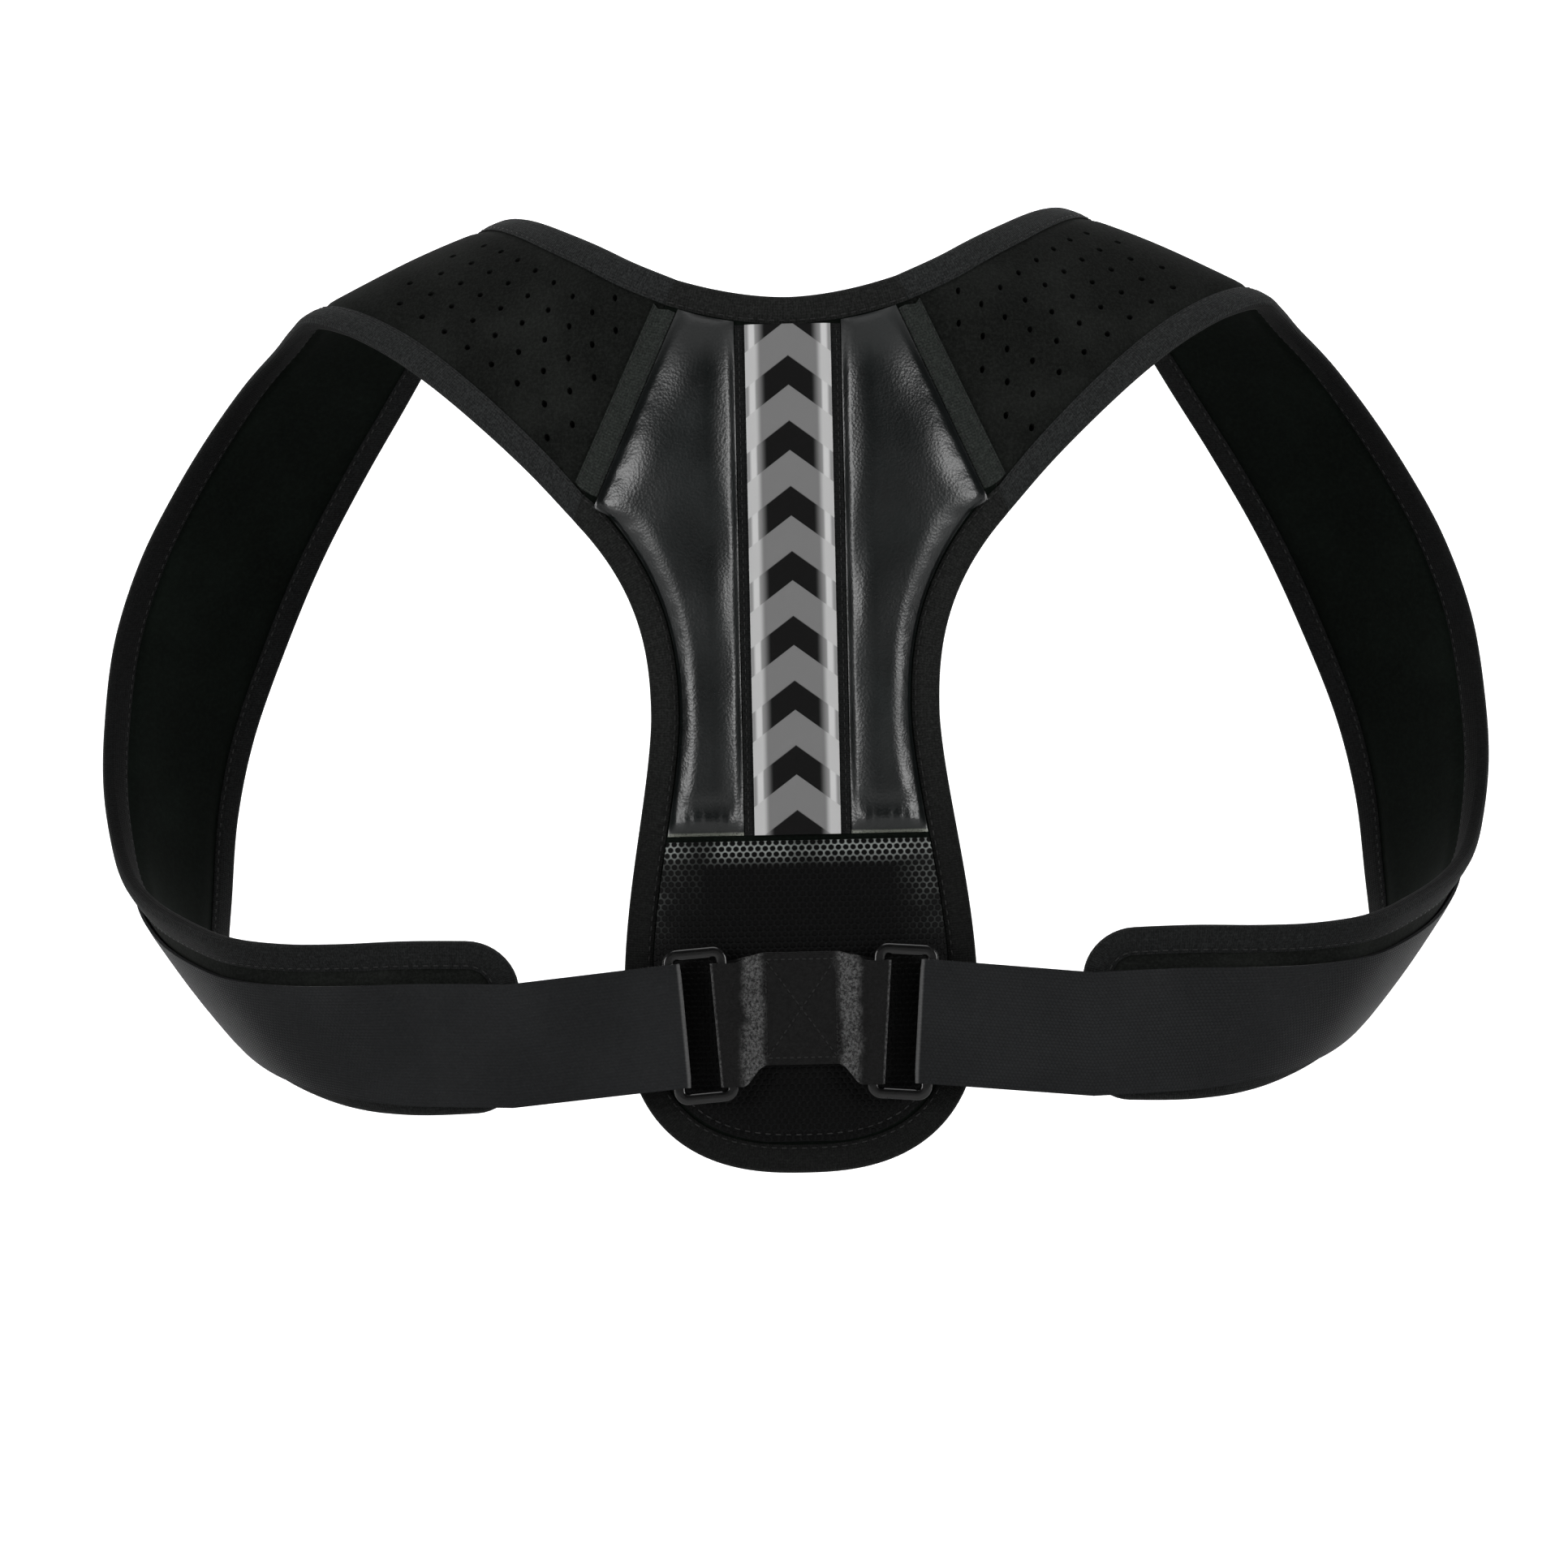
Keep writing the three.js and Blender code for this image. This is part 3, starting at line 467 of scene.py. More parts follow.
def cut_flat(rings: Sequence[Array], extra: Array) -> FlatCut:
    """Triangles of a flat shape.

    Args:
        rings: the outline first, then its holes.
        extra: more places inside it.

    Returns:
        All places, the triangles, and where each ring's points are among the places.
    """
    loops, start = [], 0
    for ring in rings:
        loops.append(list(range(start, start + len(ring))))
        start += len(ring)
    edges = [(loop[i], loop[(i + 1) % len(loop)]) for loop in loops for i in range(len(loop))]
    points = np.vstack([*rings, extra]).tolist()
    inside_only, merged_within = 1, 1e-5
    corners = [Vector(p) for p in points]
    cut = flat_geometry.delaunay_2d_cdt(corners, edges, [], inside_only, merged_within, True)
    places = np.array([tuple(v) for v in cut[0]])
    origin = {old: new for new, olds in enumerate(cut[3]) for old in olds}
    middles = places[np.array(cut[2])].mean(1)
    keep = encloses(rings[0], middles)
    for ring in rings[1:]:
        keep &= ~encloses(ring, middles)
    faces = [tuple(f) for f, kept in zip(cut[2], keep) if kept]
    return places, faces, [[origin[i] for i in loop] for loop in loops]


class Draft:
    """Points, faces and cloth coordinates of one piece, in millimetres."""

    def __init__(self) -> None:
        """Starts empty."""
        self.points: list[Array] = []
        self.cloth: list[Array] = []
        self.faces: list[tuple[int, ...]] = []
        self.count = 0

    def add(self, points: Array, faces: Sequence[Sequence[int]], cloth: Array | None = None) -> None:
        """Adds points and faces that count from the first of them.

        Args:
            points: an array of points.
            faces: corners of each face.
            cloth: coordinates on the cloth for each point, or None.
        """
        start = self.count
        self.points.append(points)
        self.cloth.append(np.zeros((len(points), 2)) if cloth is None else cloth)
        self.faces.extend(tuple(start + k for k in corners) for corners in faces)
        self.count += len(points)

    def add_grid(self, grid: Array, cloth: Array | None = None, ring: bool = False,
                 flip: bool = False) -> None:
        """Adds a sheet of quads.

        Args:
            grid: points as rows and columns.
            cloth: coordinates on the cloth, laid out in the same way.
            ring: whether the last column joins the first.
            flip: whether the faces turn over.
        """
        rows, columns = grid.shape[:2]
        index = np.arange(rows * columns).reshape(rows, columns)
        if ring:
            index = np.concatenate([index, index[:, :1]], 1)
        a, b, c, d = index[:-1, :-1], index[:-1, 1:], index[1:, 1:], index[1:, :-1]
        order = (a, d, c, b) if flip else (a, b, c, d)
        faces = np.stack(order, -1).reshape(-1, 4).tolist()
        flat = None if cloth is None else cloth.reshape(-1, 2)
        self.add(grid.reshape(-1, 3), faces, flat)

    def add_shell(self, outer: Array, inner: Array, cloth: Array | None = None) -> None:
        """Adds two faces of a sheet and the walls round its rim.

        Args:
            outer: points of the outer face, as rows and columns.
            inner: points of the inner face.
            cloth: coordinates on the cloth for each point, or None.
        """
        self.add_grid(outer, cloth)
        self.add_grid(inner, cloth, flip=True)
        rims = ((outer[0], inner[0]), (inner[-1], outer[-1]),
                (inner[:, 0], outer[:, 0]), (outer[:, -1], inner[:, -1]))
        for a, b in rims:
            self.add_grid(np.stack([a, b]), flip=True)

    def mirrored(self) -> "Draft":
        """The same piece on the other side of the centre line.

        Returns:
            The mirrored piece.
        """
        other = Draft()
        other.points = [p * np.array([-1, 1, 1]) for p in self.points]
        other.cloth = list(self.cloth)
        other.faces = [tuple(reversed(corners)) for corners in self.faces]
        other.count = self.count
        return other

    def on(self, side: Side) -> "Draft":
        """The piece as it is on a side."""
        return self if side is Side.RIGHT else self.mirrored()

    def build(self, name: str, material: Material, crease: float = 50) -> bpy.types.Object:
        """Makes the object.

        Args:
            name: name of the piece.
            material: its finish.
            crease: angle in degrees past which an edge is sharp.

        Returns:
            The object, linked to the scene.
        """
        mesh = bpy.data.meshes.new(name)
        mesh.from_pydata((np.vstack(self.points) * MM).tolist(), [], self.faces)
        corners = np.zeros(len(mesh.loops), int)
        mesh.loops.foreach_get("vertex_index", corners)
        layer = mesh.uv_layers.new(name="cloth")
        layer.uv.foreach_set("vector", (np.vstack(self.cloth)[corners] * MM).astype(np.float32).ravel())
        mesh.update()
        mesh.shade_smooth()
        mesh.set_sharp_from_angle(angle=math.radians(crease))
        mesh.materials.append(material)
        piece = bpy.data.objects.new(name, mesh)
        bpy.context.scene.collection.objects.link(piece)
        return piece


@dataclass(frozen=True)
class SheetCut:
    """Flat size that a cloth, tape or webbing was cut to, in millimetres, and how it is held."""

    wide: float
    long: float
    held: str
    rests_on: tuple[str, ...]
    area: float | None = None

    def declare(self, piece: bpy.types.Object) -> None:
        """Works out the sheet's area and sizes in metres, and keeps none of them.

        Args:
            piece: the object that the sheet became; not used.
        """
        area = None if self.area is None else self.area * MM**2
        self.wide * MM
        self.long * MM


def settle(piece: bpy.types.Object, nodes: Sequence[str] = (),
           cut: SheetCut | None = None) -> bpy.types.Object:
    """Puts a piece on the frame.

    Args:
        piece: the finished object.
        nodes: solids that it stands for.
        cut: its flat size, where it is a sheet.

    Returns:
        The same object.
    """
    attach(piece, "root")
    if nodes:
        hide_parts(*nodes)
    if cut is not None:
        cut.declare(piece)
    LOG.info("%s: %d faces", piece.name, len(piece.data.polygons))
    return piece


@dataclass(frozen=True)
class StitchRow:
    """A row of stitches along a line, each a short thread whose ends dive into the cloth."""

    pitch: float = 3.1
    length: float = 2.1
    radius: float = 0.24
    sunk: float = 0.1
    corners: int = 6
    end_wide: float = 0.35
    end_drop: float = -1.0
    body_wide: float = 0.9
    body_lift: float = 0.2
    body_share: float = 0.6

    def sew(self, draft: Draft, line: Array, normals: Array) -> None:
        """Adds the stitches to a draft.

        Args:
            draft: the piece that the stitches go in.
            line: points of the seam.
            normals: the cloth's outward direction at each.
        """
        at = run_length(line)
        count = int(at[-1] // self.pitch)
        if count < 1:
            return
        middles = (np.arange(count) + 0.5) * at[-1] / count

        def sample(values: Array, where: Array) -> Array:
            """Values at distances along the line."""
            return np.stack([np.interp(where, at, values[:, k]) for k in range(3)], -1)

        half, n = self.length / 2, self.corners
        end, body = (self.end_wide, self.end_drop), (self.body_wide, self.body_lift)
        near = half * self.body_share
        rings = ((-half, *end), (-near, *body), (near, *body), (half, *end))
        angles = np.arange(n) * 2 * math.pi / n
        faces = [(r * n + k, (r + 1) * n + k, (r + 1) * n + (k + 1) % n, r * n + (k + 1) % n)
                 for r in range(len(rings) - 1) for k in range(n)]
        total = len(rings) * n
        faces += [tuple(range(n)), tuple(range(total - 1, total - 1 - n, -1))]
        centres = [sample(line, middles + offset) for offset, _, _ in rings]
        along = unit(centres[3] - centres[0])
        normal = unit(sample(normals, middles))
        across = unit(np.cross(along, normal))
        for i in range(count):
            thread = [centres[r][i] + normal[i] * self.radius * (lift + math.sin(a) * wide)
                      - normal[i] * self.sunk + across[i] * self.radius * math.cos(a) * wide
                      for r, (_, wide, lift) in enumerate(rings) for a in angles]
            draft.add(np.array(thread), faces)


class Value:
    """A socket of a shader tree, with arithmetic that adds Math nodes."""

    def __init__(self, tree: "Tree", socket: bpy.types.NodeSocket) -> None:
        """Wraps a socket."""
        self.tree = tree
        self.socket = socket

    def _math(self, operation: str, *values: "Value | float") -> "Value":
        """Result of one Math node."""
        return self.tree.node("ShaderNodeMath", {"operation": operation}, dict(enumerate(values)))

    def __add__(self, other: "Value | float") -> "Value":
        """Sum."""
        return self._math("ADD", self, other)

    def __radd__(self, other: float) -> "Value":
        """Sum with a number first."""
        return self._math("ADD", other, self)

    def __sub__(self, other: "Value | float") -> "Value":
        """Difference."""
        return self._math("SUBTRACT", self, other)

    def __rsub__(self, other: float) -> "Value":
        """Difference with a number first."""
        return self._math("SUBTRACT", other, self)

    def __mul__(self, other: "Value | float") -> "Value":
        """Product."""
        return self._math("MULTIPLY", self, other)

    def __rmul__(self, other: float) -> "Value":
        """Product with a number first."""
        return self._math("MULTIPLY", other, self)

    def __truediv__(self, other: "Value | float") -> "Value":
        """Quotient."""
        return self._math("DIVIDE", self, other)

    def __pow__(self, other: "Value | float") -> "Value":
        """Power."""
        return self._math("POWER", self, other)

    def abs(self) -> "Value":
        """Size without its sign."""
        return self._math("ABSOLUTE", self)

    def sin(self) -> "Value":
        """Sine of an angle in radians."""
        return self._math("SINE", self)

    def wave(self, period: float) -> "Value":
        """Wave between 0 and 1."""
        return (self * (2 * math.pi / period)).sin() * 0.5 + 0.5

    def fract(self) -> "Value":
        """Part after the point."""
        return self._math("FRACT", self)

    def floor(self) -> "Value":
        """Whole part."""
        return self._math("FLOOR", self)

    def maximum(self, other: "Value | float") -> "Value":
        """The larger of two."""
        return self._math("MAXIMUM", self, other)

    def above(self, low: float, high: float) -> "Value":
        """Rises smoothly from 0 at low to 1 at high.

        Args:
            low: where the rise starts.
            high: where it ends.

        Returns:
            The share.
        """
        settings = {"interpolation_type": "SMOOTHSTEP"}
        values = {"Value": self, "From Min": low, "From Max": high, "To Min": 0.0, "To Max": 1.0}
        return self.tree.node("ShaderNodeMapRange", settings, values)

    def below(self, low: float, high: float) -> "Value":
        """Falls smoothly from 1 at low to 0 at high."""
        return 1 - self.above(low, high)


class Tree:
    """Node tree of one finish."""

    def __init__(self, name: str) -> None:
        """Starts a material with a Principled shader.

        Args:
            name: name of the material.
        """
        self.material = bpy.data.materials.new(name)
        self.material.use_nodes = True
        self.tree = self.material.node_tree
        self.shader = self.tree.nodes["Principled BSDF"]

    def node(self, kind: str, settings: dict[str, object] | None = None,
             inputs: dict[str | int, object] | None = None, output: str | int = 0) -> Value:
        """Adds a node.

        Args:
            kind: the node's type.
            settings: its properties, set first.
            inputs: values or links of its sockets, by name or number.
            output: the socket that is wanted.

        Returns:
            The wanted output.
        """
        made = self.tree.nodes.new(kind)
        for key, value in (settings or {}).items():
            setattr(made, key, value)
        for key, value in (inputs or {}).items():
            self.put(made.inputs[key], value)
        return Value(self, made.outputs[output])

    def put(self, socket: bpy.types.NodeSocket, value: object) -> None:
        """Links or sets one socket.

        Args:
            socket: an input.
            value: a Value to link, or a plain value to set.
        """
        if isinstance(value, Value):
            self.tree.links.new(value.socket, socket)
        else:
            socket.default_value = value

    def axis(self, vector: Value, name: str) -> Value:
        """One coordinate of a place in metres, in millimetres."""
        return self.node("ShaderNodeSeparateXYZ", {}, {0: vector}, name) * (1 / MM)

    def cloth(self) -> tuple[Value, Value]:
        """Coordinates along and across the cloth, in millimetres."""
        vector = self.node("ShaderNodeUVMap", {"uv_map": "cloth"})
        return self.axis(vector, "X"), self.axis(vector, "Y")

    def place(self) -> Value:
        """Place on the object, in metres."""
        return self.node("ShaderNodeTexCoord", {}, {}, "Object")

    def sideways_highlight(self, low: float, high: float, near: float) -> Value:
        """Share of painted highlight on folds that turn sideways, towards the side lamps, within a distance
        in millimetres of the centre line.

        Args:
            low: sideways turn at which the painted highlight starts.
            high: turn at which it is full.
            near: the distance.

        Returns:
            The share.
        """
        normal = self.node("ShaderNodeNewGeometry", {}, {}, "Normal")
        turned = self.node("ShaderNodeSeparateXYZ", {}, {0: normal}, "X").abs().above(low, high)
        out = self.axis(self.place(), "X").abs()
        return turned * out.below(near - 4, near)

    def noise(self, vector: Value, pitch: float, detail: float = 2, rough: float = 0.5) -> Value:
        """Uneven value about 0.5, with blots of about a pitch in millimetres."""
        values = {"Vector": vector, "Scale": 1 / (pitch * MM), "Detail": detail, "Roughness": rough}
        return self.node("ShaderNodeTexNoise", {}, values, 0)

    def cells(self, vector: Value, pitch: float) -> Value:
        """Distance from the middles of scattered cells, in cell sizes."""
        values = {"Vector": vector, "Scale": 1 / (pitch * MM)}
        return self.node("ShaderNodeTexVoronoi", {"feature": "F1"}, values, 0)

    def mix(self, share: Value | float, a: object, b: object) -> Value:
        """Colour between two colours."""
        values = {0: share, 6: a, 7: b}
        return self.node("ShaderNodeMix", {"data_type": "RGBA"}, values, 2)

    def bump(self, height: Value, depth: float) -> Value:
        """Normal from a height, with depth in millimetres."""
        values = {"Strength": 1.0, "Distance": depth * MM, "Height": height}
        return self.node("ShaderNodeBump", {}, values)

    def finish(self, **sockets: object) -> Material:
        """Sets the shader's sockets, with spaces for underscores, and returns the material.

        Args:
            **sockets: values of the shader's inputs by name.

        Returns:
            The material.
        """
        for key, value in sockets.items():
            self.put(self.shader.inputs[key.replace("_", " ")], value)
        return self.material


def linear(grey: float | Sequence[float]) -> tuple[float, float, float, float]:
    """Colour for the shader from a screen grey or red, green and blue, 0 to 255.

    Args:
        grey: one number, or three.

    Returns:
        Red, green, blue and alpha, linear.
    """
    parts = [grey] * 3 if isinstance(grey, (int, float)) else list(grey)
    shares = [p / 255 for p in parts]
    return (*[s / 12.92 if s <= 0.04045 else ((s + 0.055) / 1.055) ** 2.4 for s in shares], 1.0)


@dataclass(frozen=True)
class KnitCloth:
    """Matte knitted face of the padding or its lining, with a fine pile."""

    name: str
    shade: Colour
    light: Colour
    pitch: float = 0.9
    depth: float = 0.12
    sheen: float = 0.02
    roughness: float = 0.95
    blot: float = 26

    def material(self) -> Material:
        """Makes the finish.

        Returns:
            The material.
        """
        tree = Tree(self.name)
        place = tree.place()
        grain = tree.noise(place, self.pitch, 4, 0.7)
        blotch = tree.noise(place, self.blot, 2)
        share = grain.above(0.35, 0.75) * 0.6 + blotch.above(0.4, 0.75) * 0.4
        colour = tree.mix(share, linear(self.shade), linear(self.light))
        return tree.finish(Base_Color=colour, Roughness=self.roughness, Sheen_Weight=self.sheen,
                           Sheen_Roughness=0.6, Specular_IOR_Level=0.06,
                           Normal=tree.bump(grain, self.depth))


@dataclass(frozen=True)
class RibbedTape:
    """Edge binding or seam ribbon, woven in fine ribs across its length.

    A folded tape gets painted shade: it is darker low down and on its inner half, most so along the arm
    edge.
    """

    name: str
    shade: Colour
    light: Colour
    rib: float = 0.75
    depth: float = 0.16
    folded: bool = False
    fold_at: float = 10.6
    arm_long: float = 545
    # Brightness factors of the painted shade: low down, and on the inner half, darkest along the arm edge.
    low: float = 0.5
    low_shade_from: float = -60
    low_shade_to: float = 10
    under: float = 0.42
    arm_inner_shade: float = 0.17
    warp: float = 0.9
    speck: float = 0.8

    def material(self) -> Material:
        """Makes the finish.

        Returns:
            The material.
        """
        tree = Tree(self.name)
        along, across = tree.cloth()
        place = tree.place()
        speck = tree.noise(place, self.speck, 3, 0.8)
        ribs = along.wave(self.rib)
        warp = across.wave(self.warp)
        weave = ribs * 0.6 + warp * 0.4
        share = speck.above(0.38, 0.72) * 0.7 + weave * 0.3
        colour = tree.mix(share, linear(self.shade), linear(self.light))
        # Painted shade on a folded tape: darker low down and on the inner half, darkest on the inner half
        # along the arm edge.
        if self.folded:
            up = tree.axis(place, "Z")
            outer = self.low + up.above(self.low_shade_from, self.low_shade_to) * (1 - self.low)
            past_arm = along.above(self.arm_long, self.arm_long + 5)
            inner = self.arm_inner_shade + past_arm * (self.under - self.arm_inner_shade)
            painted_shade = outer + (inner - outer) * across.above(self.fold_at - 1.5, self.fold_at)
            colour = tree.mix(painted_shade, linear(0), colour)
        return tree.finish(Base_Color=colour, Roughness=0.8, Sheen_Weight=0.03, Sheen_Roughness=0.5,
                           Specular_IOR_Level=0.1, Normal=tree.bump(weave + speck, self.depth))


@dataclass(frozen=True)
class Webbing:
    """Plain woven webbing with fine ribs across and a twill along."""

    name: str
    shade: Colour
    light: Colour
    # Colour of the painted highlight on folds that turn sideways.
    fold_highlight: float = 92
    rib: float = 1.15
    warp: float = 1.0
    speck: float = 1.1
    blot: float = 30

    def material(self) -> Material:
        """Makes the finish.

        Returns:
            The material.
        """
        tree = Tree(self.name)
        along, across = tree.cloth()
        place = tree.place()
        speck = tree.noise(place, self.speck, 3, 0.7)
        drift = tree.noise(place, self.blot, 2)
        column = (across / self.warp).floor() * 0.5
        ribs = (along / self.rib + column.fract()).wave(1)
        ends = across.wave(self.warp)
        weave = ribs * 0.5 + ends * 0.5
        share = speck.above(0.35, 0.75) * 0.35 + weave * 0.25 + drift.above(0.35, 0.7) * 0.4
        plain = tree.mix(share, linear(self.shade), linear(self.light))
        # Painted highlight: folds that turn sideways are lighter, where the side lamps would catch them.
        colour = tree.mix(tree.sideways_highlight(0.3, 0.75, 60), plain, linear(self.fold_highlight))
        return tree.finish(Base_Color=colour, Roughness=0.6, Sheen_Weight=0.12, Sheen_Roughness=0.25,
                           Specular_IOR_Level=0.1, Normal=tree.bump(weave + speck * 0.5, 0.14))


@dataclass(frozen=True)
class LoopPile:
    """Stitched webbing of the ring tab, lighter on the loops beside its sewn middle, where fuzzier pile and
    painted highlight are mixed, with a painted highlight on its outer folds that turn sideways.
    """

    name: str = "loop_pile"
    shade: float = 17
    light: float = 28
    pile_and_highlight: float = 102
    middle: float = 15
    wide: float = 4.5
    fuzz: float = 0.9
    blot: float = 9

    def material(self) -> Material:
        """Makes the finish.

        Returns:
            The material.
        """
        tree = Tree(self.name)
        place = tree.place()
        out = tree.axis(place, "X").abs()
        fuzz = tree.noise(place, self.fuzz, 4, 0.8)
        drift = tree.noise(place, self.blot, 2)
        # Lighter band over the raised loops: fuzzier pile together with painted highlight.
        pile_highlight_share = (out - self.middle + (drift - 0.5) * 5).abs().below(self.wide * 0.3, self.wide)
        colour = tree.mix(fuzz.above(0.35, 0.7), linear(self.shade), linear(self.light))
        pile_and_highlight = tree.mix(fuzz.above(0.35, 0.7), linear(self.light), linear(self.pile_and_highlight))
        # Painted highlight on the outer folds that turn sideways.
        pile_highlight_share = pile_highlight_share.maximum(tree.sideways_highlight(0.45, 0.8, 60) * out.above(20, 22))
        return tree.finish(Base_Color=tree.mix(pile_highlight_share, colour, pile_and_highlight), Roughness=0.8, Sheen_Weight=0.12,
                           Sheen_Roughness=0.25, Specular_IOR_Level=0.1, Normal=tree.bump(fuzz, 0.35))


@dataclass(frozen=True)
class PebbledLeather:
    """Black leather with a fine pebble grain and scuffed, faintly green lights, and a painted highlight
    along its lower edge.
    """

    name: str = "leather"
    shade: Colour = (1, 4, 4)
    light: Colour = (8, 15, 15)
    pebble: float = 0.85
    depth: float = 0.045
    foot: float = -37
    # Colour of the painted highlight along the lower edge.
    rim: Colour = (118, 121, 112)
    fine: float = 0.5
    cloud: float = 22
    polish: float = 0.25
    dull_from: float = 104
    dull_to: float = 118

    def material(self) -> Material:
        """Makes the finish.

        Returns:
            The material.
        """
        tree = Tree(self.name)
        place = tree.place()
        pebbles = tree.cells(place, self.pebble)
        fine = tree.noise(place, self.fine, 3, 0.6)
        cloud = tree.noise(place, self.cloud, 3)
        share = cloud.above(0.42, 0.8) * 0.7 + pebbles * 0.3
        up = tree.axis(place, "Z")
        # Painted highlight: a thin light line along the leather's lower edge, in the rim colour.
        foot_highlight = up.below(self.foot + 0.5, self.foot + 1.3) * fine.above(0.25, 0.55)
        colour = tree.mix(foot_highlight, tree.mix(share, linear(self.shade), linear(self.light)), linear(self.rim))
        dull = up.above(self.dull_from, self.dull_to) * 0.25
        rough = cloud.above(0.3, 0.8) * 0.08 + self.polish + fine * 0.05 + dull
        return tree.finish(Base_Color=colour, Roughness=rough, Specular_IOR_Level=0.55,
                           Normal=tree.bump(pebbles + fine * 0.4, self.depth))


@dataclass(frozen=True)
class SpacerMesh:
    """Knitted mesh: staggered dark eyes between ribs, with a painted highlight on the ribs at the top and
    the sides.
    """

    name: str = "mesh"
    pitch: float = 2.2
    row: float = 1.75
    top: float = -38.8
    shade: Colour = (0, 0, 0)
    light: Colour = (8, 9, 9)
    lit: Colour = (150, 155, 152)

    def material(self) -> Material:
        """Makes the finish.

        Returns:
            The material.
        """
        tree = Tree(self.name)
        along, across = tree.cloth()
        line = (along / self.row).floor()
        shift = (line * 0.5).fract()
        a = (across / self.pitch + shift).fract() - 0.5
        b = (along / self.row).fract() - 0.5
        away = (a * a + b * b * 0.7) ** 0.5
        rib = away.above(0.31, 0.46)
        speck = tree.noise(tree.place(), 0.9, 2)
        drift = tree.noise(tree.place(), 14, 2)
        # Painted highlight: the top rows and the upper sides are lighter, as if caught by the lamps above
        # and at the sides.
        fold = (self.top - along).below(2.5, 8.5) * 0.8
        sides = across.abs().above(27, 40) * (self.top - along).below(12, 34) * 0.22
        caught = fold.maximum(sides) * drift.above(0.25, 0.6)
        ribs_and_highlight = tree.mix(caught, linear(self.light), linear(self.lit))
        colour = tree.mix(rib * (speck * 0.5 + 0.6), linear(self.shade), ribs_and_highlight)
        return tree.finish(Base_Color=colour, Roughness=0.55, Specular_IOR_Level=0.1,
                           Normal=tree.bump(rib, 0.3))


@dataclass(frozen=True)
class ReflectivePrint:
    """Silvery reflective tape with grey and black chevrons that point up, and a painted reflection of the
    side lamps along both edges.
    """

    name: str = "tape"
    period: float = 19.9
    grey_share: float = 0.53
    apex_up: float = 1.0
    slope: float = 0.76
    black: float = 5
    grey: float = 116
    edge_reflection: float = 184
    blur: float = 0.012
    # Bands across the tape where the painted reflection lies, and the streak within it.
    margin: tuple[float, float] = (8.2, 10.2)
    black_margin: tuple[float, float] = (6.8, 10.3)
    streak: tuple[float, float, float, float] = (9.6, 10.4, 11.4, 12.4)
    streak_dark: float = 44
    streak_light: float = 14

    def material(self) -> Material:
        """Makes the finish. Cloth coordinates are height and place across, with the middle at 0.

        Returns:
            The material.
        """
        tree = Tree(self.name)
        up, across = tree.cloth()
        out = across.abs()
        phase = ((up - self.apex_up + out * self.slope) / self.period).fract()
        grey_row = phase.above(1 - self.grey_share - self.blur, 1 - self.grey_share + self.blur)
        wrap = phase.above(self.blur, 2 * self.blur)
        grey_row = grey_row.maximum(1 - wrap)
        silk = tree.noise(tree.place(), 0.35, 2)
        # Painted reflection: both chevrons turn lighter towards the tape's edges, with a streak in the light
        # band, where the curved edges would mirror the side lamps.
        streak = out.above(*self.streak[:2]) * out.below(*self.streak[2:])
        grey_colour = tree.mix(out.above(*self.margin), linear(self.grey), linear(self.edge_reflection))
        dark, light = self.edge_reflection - self.streak_dark, self.edge_reflection + self.streak_light
        lines = tree.mix(streak, linear(dark), linear(light))
        black_colour = tree.mix(out.above(*self.black_margin), linear(self.black), lines)
        colour = tree.mix(grey_row, black_colour, grey_colour)
        return tree.finish(Base_Color=colour, Roughness=0.6, Metallic=0.0, Specular_IOR_Level=0.15,
                           Normal=tree.bump(silk, 0.02))


@dataclass(frozen=True)
class Moulded:
    """Glossy moulded plastic with faint ripples."""

    name: str = "ring_plastic"
    shade: float = 5

    def material(self) -> Material:
        """Makes the finish.

        Returns:
            The material.
        """
        tree = Tree(self.name)
        ripples = tree.noise(tree.place(), 3.5, 2)
        rough = ripples.above(0.3, 0.8) * 0.12 + 0.16
        colour = tree.mix(ripples, linear(self.shade), linear(self.shade + 6))
        return tree.finish(Base_Color=colour, Roughness=rough, Specular_IOR_Level=0.5,
                           Normal=tree.bump(ripples, 0.05))


@dataclass(frozen=True)
class Thread:
    """Twisted sewing thread."""

    name: str
    shade: float

    def material(self) -> Material:
        """Makes the finish.

        Returns:
            The material.
        """
        tree = Tree(self.name)
        ply = tree.noise(tree.place(), 0.5, 1)
        colour = tree.mix(ply, linear(self.shade), linear(self.shade * 1.5 + 4))
        return tree.finish(Base_Color=colour, Roughness=0.6, Specular_IOR_Level=0.4,
                           Normal=tree.bump(ply, 0.06))


@dataclass(frozen=True)
class Wardrobe:
    """All the finishes of the corrector."""

    def materials(self) -> Looks:
        """Makes each finish once.

        Returns:
            Materials by the name of what they dress.
        """
        finishes = (
            KnitCloth("neoprene", (11, 13, 11), (33, 35, 33)),
            KnitCloth("lining", (7, 11, 8), (16, 22, 18), pitch=1.3, depth=0.08, sheen=0.01),
            RibbedTape("binding", (16, 17, 17), (53, 55, 55), folded=True),
            RibbedTape("panel_tape", (10, 11, 10), (41, 42, 41), folded=True, arm_long=0),
            RibbedTape("ribbon", (22, 25, 23), (54, 58, 55), rib=0.9),
            RibbedTape("backing", (8, 9, 9), (30, 31, 31)),
            Webbing("webbing", (22, 23, 24), (34, 35, 36)),
            LoopPile(),
            PebbledLeather(),
            SpacerMesh(),
            ReflectivePrint(),
            Moulded(),
            Thread("thread", 10),
        )
        return {finish.name: finish.material() for finish in finishes}


